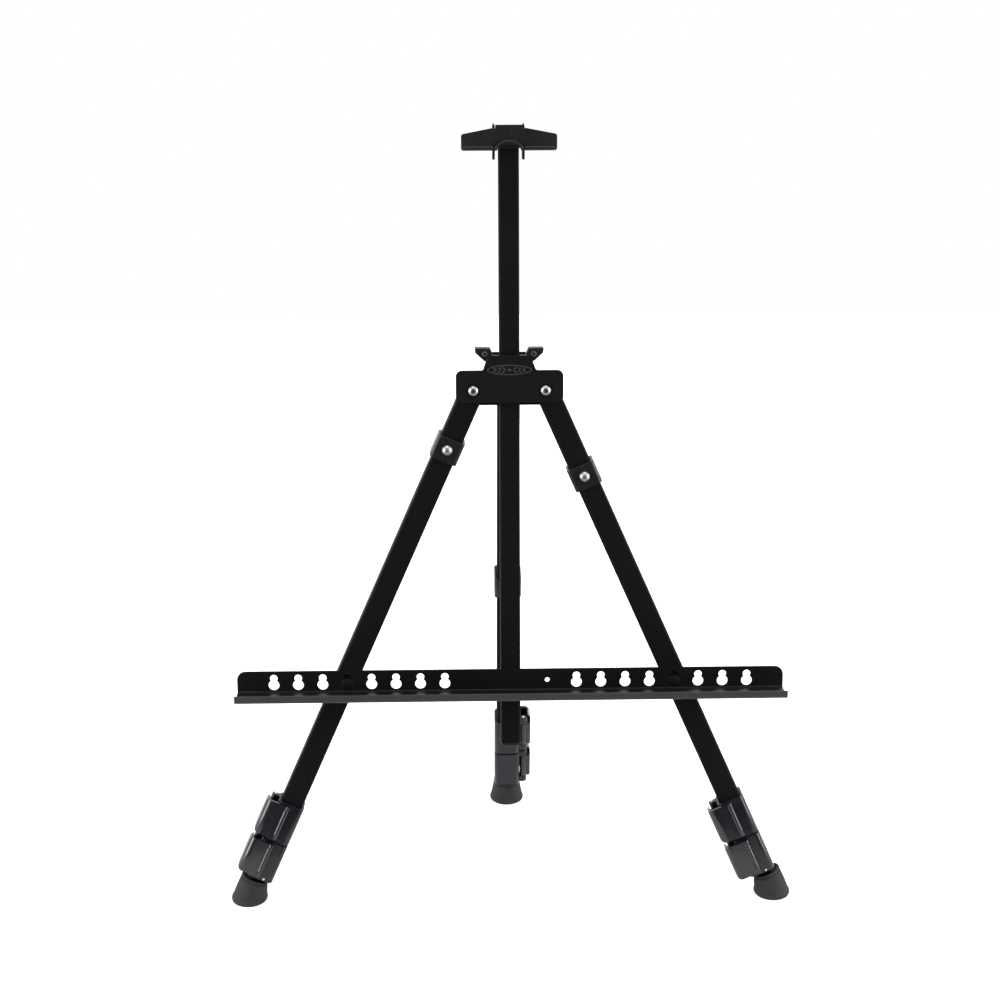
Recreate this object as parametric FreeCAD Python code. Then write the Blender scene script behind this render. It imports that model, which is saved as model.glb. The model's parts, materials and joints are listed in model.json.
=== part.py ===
import FreeCAD, Part
import math
import os
from FreeCAD import Placement, Rotation, Vector

# Tabletop easel: a head that carries a sliding mast, two front legs on rivets and a rear leg on
# a bolt, each leg in three telescoping sections, a keyhole tray and a top canvas holder.
# Millimetres, +Z up, +Y to the back, +X to the viewer's right.

# Stance
LEAN = 8.0  # the front plane leans back from vertical, degrees
SPLAY = 23.85  # each front leg from the mast, in the front plane, degrees
REAR_TILT = 10.7  # the rear leg from vertical, degrees
LEG_REACH = 476.0  # from a front rivet to the floor along the leg

# Clearances
FIT = 0.05  # a side, between pieces that are fixed to each other
RUN = 0.05  # radial, round a pin that something turns on
SLIDE = 0.20  # a side, round a tube that slides in a moulding
NEST = 0.40  # a side, between one leg section and the next
REST = 0.30  # between pieces that only lie against each other

# Tubes
LEG_OUTER = 18.5
TUBE_WALL = 1.0
TUBE_CORNER = 2.0
MAST_SIDE = 16.2
MAST_ABOVE = 204.0  # mast top above the rivets
MAST_BELOW = 296.5  # mast foot below the rivets
PLUG_FLANGE = 1.6
PLUG_CORNER = 0.5  # inside its hollow
PLUG_DEPTH = 5.0
PLUG_WALL = 1.6

# Leg stack, measured up a leg from the sole
FOOT_HEIGHT = 22.5
CLAMP_LENGTH = 35.2
CLAMP_GAP = 1.2
CLAMP_LEDGE = 4.0  # the part of a clamp that is below its own tube
INNER_END = 6.0  # end of the inner tube above the sole
LEG_TOP = 8.0  # a front leg's tube above its rivet
SECTION_START = 6.5  # clear length below a rivet before the middle tube begins
SECTION_STEP = 4.0  # from the middle tube's top to the inner tube's top

# Flip-lever clamps
CLAMP_WALL = 2.0  # outside the leg's outer tube
CLAMP_CORNER = 4.5
CLAMP_EAR = 6.0
KNUCKLE_RADIUS = 3.2
LEVER_PIN_RADIUS = 1.2
LEVER_WALL = 2.4
LEVER_SKIN = 3.2  # the lever's side beyond its knuckle
LEVER_HINGE_BACK = 3.0  # hinge behind the leg's axis
LEVER_FRONT_GAP = 1.1
LEVER_END = -2.0  # the lever's free edge, this far across the leg's axis
LEVER_CORNER = 6.0
LEVER_BEAD = 1.8  # radius of the bead along the free edge
LEVER_ROUND = 3.5  # the panel's outer corners
LEVER_LOW = 3.2  # lever's lower end above its clamp's
LEVER_HIGH = 0.8  # upper end below its clamp's
CLAMP_SLIT = 1.4
LEVER_PANEL_BACK = 1.5  # panel's back edge before the knuckle
LEVER_ARM_BACK = 1.8  # arm's back before the knuckle's
LEVER_ARM_LAP = 0.5  # arm under the panel
LEVER_ARM_ROUND = 1.5
PIN_LOW = 0.4  # pin's lower end inside the clamp
PIN_HIGH = 0.5  # pin's upper end beyond it

# Feet
FOOT_WALL = 4.65  # rubber at the middle of the inner tube's sides, at the top
FOOT_FLARE = 4.1
FOOT_UPRIGHT = 0.3  # share of a leg's lean that the foot's top gives back
SOLE_THICKNESS = 3.6
SOLE_BEVEL = 1.0

# Sliding collars
COLLAR_WALL = 2.05
COLLAR_CORNER = 3.2
COLLAR_LENGTH = 19.5
COLLAR_LEFT = 52.4  # rivet to collar centre along the left leg
COLLAR_RIGHT = 77.0
COLLAR_REAR = 190.0
STUD_RADIUS = 4.3
STUD_RISE = 2.8
STUD_SHANK = 2.0

# Head
SHEET = 1.5
WASHER_LEAST = 1.3  # thinnest a leg washer may be
WASHER_RADIUS = 7.5
HEAD_MARGIN = 4.6  # plate beyond a leg's side, at the rivet
HEAD_BOTTOM = -9.4  # below the rivets
HEAD_OVER_LEG = 8.5  # shoulder above the legs' top ends
HEAD_NECK = 12.0  # shoulder to the top edge
NECK_SPREAD = 6.0  # the neck beyond the guide's side
NECK_TOP_SPREAD = 1.0
HEAD_CORNER = 5.0
NECK_CORNER = 2.0
BACK_DROP = 6.1  # the back plate stands this far below the front plate
STOP_TOP = 3.0  # a leg stop's ends, along the leg below its rivet
STOP_END = 9.0
RIVET_RADIUS = 3.0
RIVET_HEAD = 4.1
RIVET_RISE = 2.0
RIVET_BORE = 1.6
RIVET_TAIL = 1.2
RIVET_DISH = 5.8
DISH_DEPTH = 0.6
OVAL_HALF = 17.8
OVAL_HALF_HEIGHT = 4.1
OVAL_HEIGHT = 16.9
OVAL_RISE = 0.5
OVAL_RIM = 0.9

# Mast lock
GUIDE_SIDE = 6.9  # guide beside the mast
GUIDE_SKIN = 1.4  # guide in front of the mast and behind it
GUIDE_INSET = 0.7  # the guide's widened top inside the plates' neck
GUIDE_NECK_DROP = 1.0  # its widening below the plates' shoulder
GUIDE_TOP_DROP = 0.5  # its top below the plates' top edge
GUIDE_LOW_RISE = 0.4  # its bottom above the plates' bottom edge
GUIDE_LEG_GAP = 0.3  # between the guide and the sweep of a leg's top corner
LOCK_WIDTH = 9.6
LOCK_SLOT_SIDE = 0.2
LOCK_PIN_RADIUS = 1.5
LOCK_PIVOT_OUT = 7.3  # lever pin beyond the mast's side
LOCK_PIVOT_DOWN = 8.9  # and below the plates' top edge
LOCK_KNUCKLE = 3.2
LOCK_ROOT = 3.0  # half the lever's width at its pin
LOCK_TAPER = 0.2  # the lever's inner side, pin to neck
LOCK_NECK = 6.4  # neck above the pin
LOCK_FLARE = 8.4  # underside of the ear above the pin
LOCK_SPREAD = 1.8  # ear's underside, outward from the neck
LOCK_ROUND = 0.8
LOCK_FLOOR = 1.2  # slot's floor below the knuckle's room
PAWL_HALF = 2.6
PAWL_SLOPE = 3.0  # fall of the pawl's upper side towards the mast
PAWL_DIP = 0.6
EAR_RISE = 4.5  # ear above the plates
EAR_REACH = 12.0  # ear tip beyond its pin
EAR_LIP = 1.8
PAWL_GAP = 0.5  # tip to the mast
SPRING_WIRE = 0.45
SPRING_TURNS = 2.0

# Rear hinge
REAR_CLEAR = 4.1  # rear leg's front face to the bracket, when the leg is folded
REAR_RISE = -4.0  # hinge above the rivets
BRACKET_EAR = 7.5
BRACKET_UP = 17.0  # bracket above its bolt
BRACKET_DOWN = 11.0
BOLT_RADIUS = 3.0
BOLT_HEAD_RADIUS = 5.2
BOLT_HEAD = 2.6
NUT_FLAT = 5.0
NUT_THICKNESS = 4.0
PLATE_RIVET = 1.6
PLATE_RIVET_X = 5.5
PLATE_RIVET_IN = 3.5  # from the bracket's ends

# Tray
TRAY_LENGTH = 448.0
TRAY_SHEET = 1.2
TRAY_BACK = 19.0
TRAY_SHELF = 28.5
TRAY_LIP = 6.7
TRAY_BEND = 2.4
TRAY_CORNER = 7.0
KEYHOLES = 8  # on each side of the mast
KEY_PITCH = 20.0
KEY_FIRST = 54.0
KEY_SMALL = 3.15
KEY_LARGE = 4.4
KEY_TOTAL = 13.3
PEG_KEY = 4  # the keyhole, counted from 0, that each tray peg fills
PEG_RADIUS = 2.25
PEG_HOLE = 3.6
PEG_DEPTH = 1.2  # how far a peg reaches into its leg
PEG_INSIDE = 2.3  # peg's axis this far inside its leg's axis, level
PEG_HEAD = 4.85
PEG_RISE = 1.2
TRAY_HOLE_X = 30.0
TRAY_HOLE_RADIUS = 2.0

# Canvas holder
HOLDER_WALL = 1.8
HOLDER_LENGTH = 17.0
HOLDER_RISE = 3.0  # holder above the mast's end
HOLDER_CORNER = 2.5
JAW_HALF = 36.8
JAW_GAP = 16.0  # room for a canvas between mast and lip
JAW_WALL = 2.2
JAW_DROP = 15.0  # jaw's lower edge below the mast's end
JAW_END_HEIGHT = 12.5
JAW_MID_HEIGHT = 17.0
JAW_MID_HALF = 13.5
JAW_BLOCK_HEIGHT = 19.5
JAW_BLOCK_HALF = 10.2
JAW_BEVEL = 1.5
JAW_CORNER = 2.0
ROOF_DROP = 0.6  # the channel's roof below the lip's ends
ROOF_CORNER = 6.0
ARCH_HALF = 9.2
ARCH_RISE = 5.0
ARCH_RIM = 2.2
ARCH_RIM_RISE = 3.4
ARCH_STAND = 0.9  # the rim in front of the lip
GRIP_LENGTH = 28.0
GRIP_WALL = 2.0
GRIP_WIDTH = 12.0
GRIP_OFF = 0.5  # grip's inner face beyond the sleeve
GRIP_START = -9.0  # grip's lower end from the sleeve's
GRIP_PIVOT_UP = 5.0
GRIP_PIVOT_OUT = 0.7  # pin beyond the middle of the grip's wall
GRIP_PIN = 0.8
GRIP_KNUCKLE = 1.6
GRIP_EAR = 3.0
GRIP_CHAMFER = 3.0  # down the outer side of its top
GRIP_TIP = 0.6  # share of the wall left at the tip
GRIP_NOTCH = 2.0  # inner side below the tip

X_AXIS = Vector(1, 0, 0)
Y_AXIS = Vector(0, 1, 0)
Z_AXIS = Vector(0, 0, 1)
ORIGIN = Vector(0, 0, 0)

# Sizes that follow from the ones above
LEG_MIDDLE = LEG_OUTER - 2 * TUBE_WALL - 2 * NEST
LEG_INNER = LEG_MIDDLE - 2 * TUBE_WALL - 2 * NEST
LEG_HALF = LEG_OUTER / 2
MAST_HALF = MAST_SIDE / 2
RIVET_HEIGHT = LEG_REACH * math.cos(math.radians(SPLAY))  # up the front plane
GUIDE_HALF = MAST_HALF + SLIDE + GUIDE_SIDE
LEG_SWEEP = math.hypot(LEG_TOP + PLUG_FLANGE, LEG_HALF)
RIVET_SPACING = 2 * (GUIDE_HALF + GUIDE_LEG_GAP + LEG_SWEEP)  # between the front legs' rivets
LEG_ROOM = LEG_HALF + WASHER_LEAST + 2 * FIT
GUIDE_ROOM = MAST_HALF + SLIDE + GUIDE_SKIN + FIT
PLATE_GAP = max(LEG_ROOM, GUIDE_ROOM)  # mast axis to a head plate's inner face
WASHER = PLATE_GAP - LEG_HALF - 2 * FIT
PLATE_OUT = PLATE_GAP + SHEET
BRACKET_BASE = PLATE_OUT + SHEET
REAR_OFFSET = BRACKET_BASE + LEG_HALF + REAR_CLEAR  # hinge behind the mast's axis
REAR_SWING = LEAN + REAR_TILT
UPPER_CLAMP = FOOT_HEIGHT + 2 * CLAMP_GAP + 2 * CLAMP_LENGTH  # top of the upper clamp above the sole
LOWER_CLAMP = FOOT_HEIGHT + CLAMP_GAP + CLAMP_LENGTH
CLAMP_SIDE = LEG_OUTER + 2 * CLAMP_WALL
HINGE_X = -(CLAMP_SIDE / 2 + REST + KNUCKLE_RADIUS)
LEVER_REACH = KNUCKLE_RADIUS + LEVER_SKIN - HINGE_X  # leg axis to the lever's outer face
COLLAR_SIDE = LEG_OUTER + 2 * SLIDE + 2 * COLLAR_WALL
FOOT_TOP_RADIUS = LEG_INNER / 2 + FOOT_WALL
FOOT_RADIUS = FOOT_TOP_RADIUS + FOOT_FLARE
HEAD_HALF = RIVET_SPACING / 2 + LEG_HALF + HEAD_MARGIN
HEAD_SHOULDER = LEG_TOP + HEAD_OVER_LEG
HEAD_TOP = HEAD_SHOULDER + HEAD_NECK
HEAD_NECK_HALF = GUIDE_HALF + NECK_SPREAD
HEAD_TOP_HALF = GUIDE_HALF + NECK_TOP_SPREAD
GUIDE_NECK = HEAD_SHOULDER - GUIDE_INSET - GUIDE_NECK_DROP  # where the guide widens, above the rivets
GUIDE_TOP = HEAD_TOP - GUIDE_TOP_DROP
LOCK_PIVOT_X = MAST_HALF + LOCK_PIVOT_OUT
LOCK_PIVOT_UP = HEAD_TOP - LOCK_PIVOT_DOWN
GUIDE_SLOT_FLOOR = LOCK_PIVOT_UP - 2 * LOCK_KNUCKLE - LOCK_FLOOR
EAR_TOP = HEAD_TOP + EAR_RISE
EAR_TIP = LOCK_PIVOT_X + EAR_REACH
TRAY_FACE = -(max(LEG_HALF, MAST_HALF) + REST)  # the tray's back face
KEY_RISE = KEY_TOTAL - KEY_SMALL - KEY_LARGE
PEG_X = KEY_FIRST + PEG_KEY * KEY_PITCH
PEG_DROP = (PEG_X + PEG_INSIDE - RIVET_SPACING / 2) / math.tan(math.radians(SPLAY))
TRAY_CENTRE = RIVET_HEIGHT - PEG_DROP + KEY_TOTAL / 2 - KEY_LARGE  # above the floor line, up the front plane
HOLDER_SIDE = MAST_SIDE + 2 * SLIDE + 2 * HOLDER_WALL
HOLDER_TOP = MAST_ABOVE + HOLDER_RISE  # above the rivets, as are the next seven
HOLDER_BOTTOM = HOLDER_TOP - HOLDER_LENGTH
JAW_BOTTOM = MAST_ABOVE - JAW_DROP
JAW_END_TOP = JAW_BOTTOM + JAW_END_HEIGHT
JAW_MID_TOP = JAW_BOTTOM + JAW_MID_HEIGHT
JAW_BLOCK_TOP = JAW_BOTTOM + JAW_BLOCK_HEIGHT
GRIP_BOTTOM = HOLDER_BOTTOM + GRIP_START
GRIP_PIVOT = HOLDER_BOTTOM + GRIP_PIVOT_UP
JAW_BACK = -(MAST_HALF + JAW_GAP)
GRIP_X = HOLDER_SIDE / 2 + GRIP_OFF
GRIP_AXIS = GRIP_X + GRIP_WALL / 2 + GRIP_PIVOT_OUT
BRACKET_LOW = REAR_RISE - BRACKET_DOWN
BRACKET_HIGH = REAR_RISE + BRACKET_UP


def rear_top():
    """Length of the rear tube above its bolt, so that its top corner stops on the bracket."""
    swing = math.radians(REAR_SWING)
    room = REAR_OFFSET - BRACKET_BASE - REST
    return (room - LEG_HALF * math.cos(swing)) / math.sin(swing) - PLUG_FLANGE


# Placements: the front plane, each leg in it, and the rear leg
FRONT = Placement(ORIGIN, Rotation(X_AXIS, -LEAN))
HEAD = FRONT.multiply(Placement(Vector(0, 0, RIVET_HEIGHT), Rotation()))
REAR_HINGE = HEAD.multVec(Vector(0, REAR_OFFSET, REAR_RISE))
REAR_REACH = REAR_HINGE.z / math.cos(math.radians(REAR_TILT))


def front_leg_place(side):
    turn = Rotation(Y_AXIS, -side * SPLAY)
    return HEAD.multiply(Placement(Vector(side * RIVET_SPACING / 2, 0, 0), turn))


def rear_leg_place():
    tilt = Placement(REAR_HINGE, Rotation(X_AXIS, REAR_TILT))
    return tilt.multiply(Placement(ORIGIN, Rotation(Z_AXIS, 180)))


SIDES = {"left": -1, "right": 1}
LEGS = {
    "left": (front_leg_place(-1), LEG_REACH, LEG_TOP, COLLAR_LEFT),
    "right": (front_leg_place(1), LEG_REACH, LEG_TOP, COLLAR_RIGHT),
    "rear": (rear_leg_place(), REAR_REACH, rear_top(), COLLAR_REAR),
}


# Shape helpers
def placed(shape, placement):
    return shape.transformed(placement.toMatrix(), True)


def runs_along(edge, axis):
    if len(edge.Vertexes) < 2 or not isinstance(edge.Curve, Part.Line):
        return False
    step = edge.Vertexes[1].Point.sub(edge.Vertexes[0].Point)
    return step.cross(axis).Length < 1e-6 * step.Length


def rounded(shape, radius, axis, keep=lambda point: True):
    """Fillet the straight edges along an axis whose middle point passes the test."""
    edges = [e for e in shape.Edges if runs_along(e, axis) and keep(e.CenterOfMass)]
    return shape.makeFillet(radius, edges)


def bar(width, depth, corner, low, high, x=0.0, y=0.0):
    base = Vector(x - width / 2, y - depth / 2, low)
    return rounded(Part.makeBox(width, depth, high - low, base), corner, Z_AXIS)


def tube(side, low, high):
    hollow = side - 2 * TUBE_WALL
    inside = bar(hollow, hollow, TUBE_CORNER - TUBE_WALL, low - 1, high + 1)
    return bar(side, side, TUBE_CORNER, low, high).cut(inside)


def box(x0, x1, y0, y1, z0, z1):
    return Part.makeBox(x1 - x0, y1 - y0, z1 - z0, Vector(x0, y0, z0))


def plate(outline, front, back):
    """A flat piece from an outline of x, z points, between two y values."""
    points = [Vector(x, front, z) for x, z in outline]
    face = Part.Face(Part.makePolygon(points + points[:1]))
    return face.extrude(Vector(0, back - front, 0))


def upright(outline, low, high):
    """A prism from an outline of x, y points, between two z values."""
    points = [Vector(x, y, low) for x, y in outline]
    face = Part.Face(Part.makePolygon(points + points[:1]))
    return face.extrude(Vector(0, 0, high - low))


def rod_y(radius, x, z, front, back):
    return Part.makeCylinder(radius, back - front, Vector(x, front, z), Y_AXIS)


def rod_z(radius, x, y, low, high):
    return Part.makeCylinder(radius, high - low, Vector(x, y, low), Z_AXIS)


def rod_x(radius, y, z, left, right):
    return Part.makeCylinder(radius, right - left, Vector(left, y, z), X_AXIS)


def dome(radius, rise, x, z, face):
    """A domed head that stands forward of the plane y = face."""
    ball = (radius * radius + rise * rise) / (2 * rise)
    half_angle = math.asin(radius / ball) / 2
    rim = Vector(radius, face, 0)
    crown = Vector(0, face - rise, 0)
    shoulder = Vector(ball * math.sin(half_angle), face - rise + ball * (1 - math.cos(half_angle)), 0)
    curve = Part.Arc(rim, shoulder, crown).toShape()
    sides = [Part.makeLine(crown, Vector(0, face, 0)), Part.makeLine(Vector(0, face, 0), rim)]
    turned = Part.Face(Part.Wire([curve] + sides)).revolve(ORIGIN, Y_AXIS, 360)
    turned.translate(Vector(x, 0, z))
    return turned


def mirrored(outline):
    return [(-x, z) for x, z in reversed(outline)]


# Legs: in a leg's own frame its pivot is at the origin and the tube runs down -Z
def leg_outer(reach, top):
    """The outer tube down to its seat on the upper clamp's ledge."""
    return tube(LEG_OUTER, -(reach - UPPER_CLAMP + CLAMP_LENGTH - CLAMP_LEDGE), top)


def front_leg_outer(reach, top, side):
    body = leg_outer(reach, top).cut(rod_y(RIVET_RADIUS + RUN, 0, 0, -LEG_OUTER, LEG_OUTER))
    x, z = peg_hole_place(side)
    return body.cut(rod_y(PEG_HOLE, x, z, -LEG_OUTER, 0))


def peg_hole_place(side):
    """Centre of a leg's peg hole in the leg's frame; the peg rests near its lower edge."""
    height = peg_height() + PEG_HOLE - PEG_RADIUS - REST
    world = FRONT.multVec(Vector(side * PEG_X, 0, height))
    local = front_leg_place(side).inverse().multVec(world)
    return local.x, local.z


def rear_leg_outer(reach, top):
    return leg_outer(reach, top).cut(rod_x(BOLT_RADIUS + RUN, 0, 0, -LEG_OUTER, LEG_OUTER))


def leg_middle(reach):
    top = -(RIVET_RADIUS + SECTION_START)
    return tube(LEG_MIDDLE, -(reach - LOWER_CLAMP + CLAMP_LENGTH - CLAMP_LEDGE), top)


def leg_inner(reach):
    top = -(RIVET_RADIUS + SECTION_START + SECTION_STEP)
    return tube(LEG_INNER, -(reach - INNER_END), top)


def end_plug(side, end, direction):
    """A cap in a tube's end at z = end; direction is +1 when the tube is below it."""
    inner = side - 2 * TUBE_WALL - 2 * FIT
    core = inner - 2 * PLUG_WALL
    edges = sorted((end, end + direction * PLUG_FLANGE))
    flange = bar(side, side, TUBE_CORNER, *edges)
    stem = sorted((end - direction * PLUG_DEPTH, end + direction * PLUG_FLANGE / 2))
    body = flange.fuse(bar(inner, inner, TUBE_CORNER - TUBE_WALL, *stem))
    well = sorted((end - direction * (PLUG_DEPTH + 1), end))
    return body.cut(bar(core, core, PLUG_CORNER, *well)).removeSplitter()


def clamp_body(high, upper, lower):
    """A split collar round the end of one section that grips the next one."""
    low = high - CLAMP_LENGTH
    half = CLAMP_SIDE / 2
    body = bar(CLAMP_SIDE, CLAMP_SIDE, CLAMP_CORNER, low, high)
    for start in (low, high - CLAMP_EAR):
        stop = start + CLAMP_EAR
        ear = rod_z(KNUCKLE_RADIUS, HINGE_X, LEVER_HINGE_BACK, start, stop)
        y0 = LEVER_HINGE_BACK - KNUCKLE_RADIUS
        y1 = LEVER_HINGE_BACK + KNUCKLE_RADIUS
        body = body.fuse(ear.fuse(box(HINGE_X, -half + 1, y0, y1, start, stop)))
    own = upper + 2 * FIT
    body = body.cut(bar(own, own, TUBE_CORNER, low + CLAMP_LEDGE - FIT, high + 1))
    passing = lower + 2 * SLIDE
    body = body.cut(bar(passing, passing, TUBE_CORNER, low - 1, high - CLAMP_LENGTH / 2))
    body = body.cut(rod_z(LEVER_PIN_RADIUS + FIT, HINGE_X, LEVER_HINGE_BACK, low - 1, high + 1))
    slit = box(-half - 1, 0, -CLAMP_SLIT / 2, CLAMP_SLIT / 2, low + CLAMP_EAR, high - CLAMP_EAR)
    return body.cut(slit).removeSplitter()


def clamp_lever(high):
    """A curved handle that covers the side and front of its clamp and turns on the pin."""
    low = high - CLAMP_LENGTH
    start = LEVER_HINGE_BACK - KNUCKLE_RADIUS - LEVER_PANEL_BACK
    face = -(CLAMP_SIDE / 2 + LEVER_FRONT_GAP)
    out = face - LEVER_WALL
    inside = -(LEVER_REACH - LEVER_WALL)
    outline = [
        (-LEVER_REACH, start),
        (-LEVER_REACH, out),
        (LEVER_END, out),
        (LEVER_END, face),
        (inside, face),
        (inside, start),
    ]
    ends = (low + LEVER_LOW, high - LEVER_HIGH)
    panel = upright(outline, *ends)
    panel = rounded(panel, LEVER_CORNER, Z_AXIS, lambda p: p.x < inside - 1 and p.y < out + 1)
    inner_round = LEVER_CORNER - LEVER_WALL
    panel = rounded(panel, inner_round, Z_AXIS, lambda p: abs(p.x - inside) < 0.1 and p.y < face + 1)
    panel = panel.fuse(rod_z(LEVER_BEAD, LEVER_END, (face + out) / 2, *ends))
    middle = (low + CLAMP_EAR + REST, high - CLAMP_EAR - REST)
    knuckle = rod_z(KNUCKLE_RADIUS, HINGE_X, LEVER_HINGE_BACK, *middle)
    arm_back = LEVER_HINGE_BACK + KNUCKLE_RADIUS - LEVER_ARM_BACK
    arm = box(-LEVER_REACH, HINGE_X, start - LEVER_ARM_LAP, arm_back, *middle)
    arm = rounded(arm, LEVER_ARM_ROUND, Z_AXIS, lambda p: p.x < HINGE_X - 1 and p.y > 0)
    lever = panel.fuse(arm).fuse(knuckle)
    silhouette = box(-LEVER_REACH, CLAMP_SIDE, 2 * out, -2 * out, *ends)
    silhouette = rounded(silhouette, LEVER_ROUND, Y_AXIS, lambda p: p.x < 0)
    bore = rod_z(LEVER_PIN_RADIUS + RUN, HINGE_X, LEVER_HINGE_BACK, low - 1, high + 1)
    return lever.common(silhouette).cut(bore).removeSplitter()


def clamp_pin(high):
    return rod_z(LEVER_PIN_RADIUS, HINGE_X, LEVER_HINGE_BACK, high - CLAMP_LENGTH + PIN_LOW, high + PIN_HIGH)


def collar(distance):
    low = -distance - COLLAR_LENGTH / 2
    hole = LEG_OUTER + 2 * SLIDE
    sleeve = bar(COLLAR_SIDE, COLLAR_SIDE, COLLAR_CORNER, low, low + COLLAR_LENGTH)
    sleeve = sleeve.cut(bar(hole, hole, TUBE_CORNER, low - 1, low + COLLAR_LENGTH + 1))
    return sleeve.cut(rod_y(STUD_SHANK + FIT, 0, -distance, -COLLAR_SIDE, 0))


def collar_stud(distance):
    face = -COLLAR_SIDE / 2
    shank = rod_y(STUD_SHANK, 0, -distance, face, -(LEG_HALF + SLIDE + REST))
    return dome(STUD_RADIUS, STUD_RISE, 0, -distance, face).fuse(shank).removeSplitter()


def foot(place, reach):
    """A rubber cup on the inner tube with its sole flat on the floor."""
    sole = place.multVec(Vector(0, 0, -reach))
    top = place.multVec(Vector(0, 0, -(reach - FOOT_HEIGHT)))
    up = top.sub(sole).normalize()
    lean = Vector(sole.x - top.x, sole.y - top.y, 0)
    high = Part.Wire(Part.makeCircle(FOOT_TOP_RADIUS, top.add(lean.multiply(FOOT_UPRIGHT)), up))
    low = Part.Wire(Part.makeCircle(FOOT_RADIUS, Vector(sole.x, sole.y, SOLE_THICKNESS), Z_AXIS))
    cup = Part.makeLoft([low, high], True)
    disc = rod_z(FOOT_RADIUS, sole.x, sole.y, 0, SOLE_THICKNESS)
    disc = disc.makeChamfer(SOLE_BEVEL, [e for e in disc.Edges if e.CenterOfMass.z < 0.01])
    body = cup.fuse(disc).removeSplitter()
    hole = LEG_INNER + 2 * FIT
    socket = bar(hole, hole, TUBE_CORNER, -(reach - INNER_END + FIT), -(reach - FOOT_HEIGHT - 5))
    return body.cut(placed(socket, place))


# Head: in its own frame the two rivets are at z = 0
def head_outline(drop):
    right = [
        (HEAD_HALF, HEAD_BOTTOM - drop),
        (HEAD_HALF, HEAD_SHOULDER - drop),
        (HEAD_NECK_HALF, HEAD_SHOULDER - drop),
        (HEAD_TOP_HALF, HEAD_TOP - drop),
    ]
    return right + mirrored(right)


def head_sheet(drop, front, back):
    sheet = plate(head_outline(drop), front, back)
    sheet = rounded(sheet, HEAD_CORNER, Y_AXIS, lambda p: abs(p.x) > HEAD_HALF - 1)
    top = HEAD_TOP - drop
    sheet = rounded(sheet, NECK_CORNER, Y_AXIS, lambda p: p.z > top - 1 or near_neck(p))
    for side in (-1, 1):
        x = side * RIVET_SPACING / 2
        sheet = sheet.cut(rod_y(RIVET_RADIUS + FIT, x, 0, front - 1, back + 1))
    return sheet


def near_neck(point):
    return abs(abs(point.x) - HEAD_NECK_HALF) < 0.1


def oval(half, half_height, z, front, back):
    """An oval prism between two y values, longer across than it is high."""
    centre = Vector(0, front, z)
    curve = Part.Ellipse(centre.add(Vector(half, 0, 0)), centre.add(Vector(0, 0, half_height)), centre)
    return Part.Face(Part.Wire(curve.toShape())).extrude(Vector(0, back - front, 0))


def head_front_plate():
    body = head_sheet(0, -PLATE_OUT, -PLATE_GAP)
    for side in (-1, 1):
        x = side * RIVET_SPACING / 2
        body = body.cut(rod_y(RIVET_DISH, x, 0, -PLATE_OUT - 1, -PLATE_OUT + DISH_DEPTH))
    face = -PLATE_OUT - OVAL_RISE
    ring = oval(OVAL_HALF, OVAL_HALF_HEIGHT, OVAL_HEIGHT, face, -PLATE_OUT + 0.2)
    inner = (OVAL_HALF - OVAL_RIM, OVAL_HALF_HEIGHT - OVAL_RIM)
    hollow = oval(*inner, OVAL_HEIGHT, face - 1, -PLATE_OUT)
    return body.fuse(ring.cut(hollow)).removeSplitter()


def head_back_plate():
    body = head_sheet(BACK_DROP, PLATE_GAP, PLATE_OUT)
    for side in (-1, 1):
        inner = LEG_HALF + REST
        edges = sorted((side * inner, side * (inner + SHEET)))
        tab = box(*edges, -LEG_HALF, PLATE_OUT, -STOP_END, -STOP_TOP)
        tab.rotate(ORIGIN, Y_AXIS, -side * SPLAY)
        tab.translate(Vector(side * RIVET_SPACING / 2, 0, 0))
        body = body.fuse(tab)
    for x, z in plate_rivet_places():
        body = body.cut(rod_y(PLATE_RIVET + FIT, x, z, 0, PLATE_OUT + 1))
    return body.removeSplitter()


def plate_rivet_places():
    ends = (BRACKET_LOW + PLATE_RIVET_IN, BRACKET_HIGH - PLATE_RIVET_IN)
    return [(x, z) for x in (-PLATE_RIVET_X, PLATE_RIVET_X) for z in ends]


def leg_rivet(side):
    x = side * RIVET_SPACING / 2
    dish = -PLATE_OUT + DISH_DEPTH
    body = rod_y(RIVET_RADIUS, x, 0, dish, PLATE_OUT)
    body = body.fuse(dome(RIVET_HEAD, RIVET_RISE, x, 0, dish))
    tail = rod_y(RIVET_HEAD, x, 0, PLATE_OUT, PLATE_OUT + RIVET_TAIL)
    body = body.fuse(tail)
    return body.cut(rod_y(RIVET_BORE, x, 0, dish - RIVET_RISE - 1, dish + 1)).removeSplitter()


def leg_washer(side, face):
    x = side * RIVET_SPACING / 2
    low, high = sorted((face * (LEG_HALF + FIT), face * (LEG_HALF + FIT + WASHER)))
    ring = rod_y(WASHER_RADIUS, x, 0, low, high)
    return ring.cut(rod_y(RIVET_RADIUS + FIT, x, 0, low - 1, high + 1))


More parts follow.
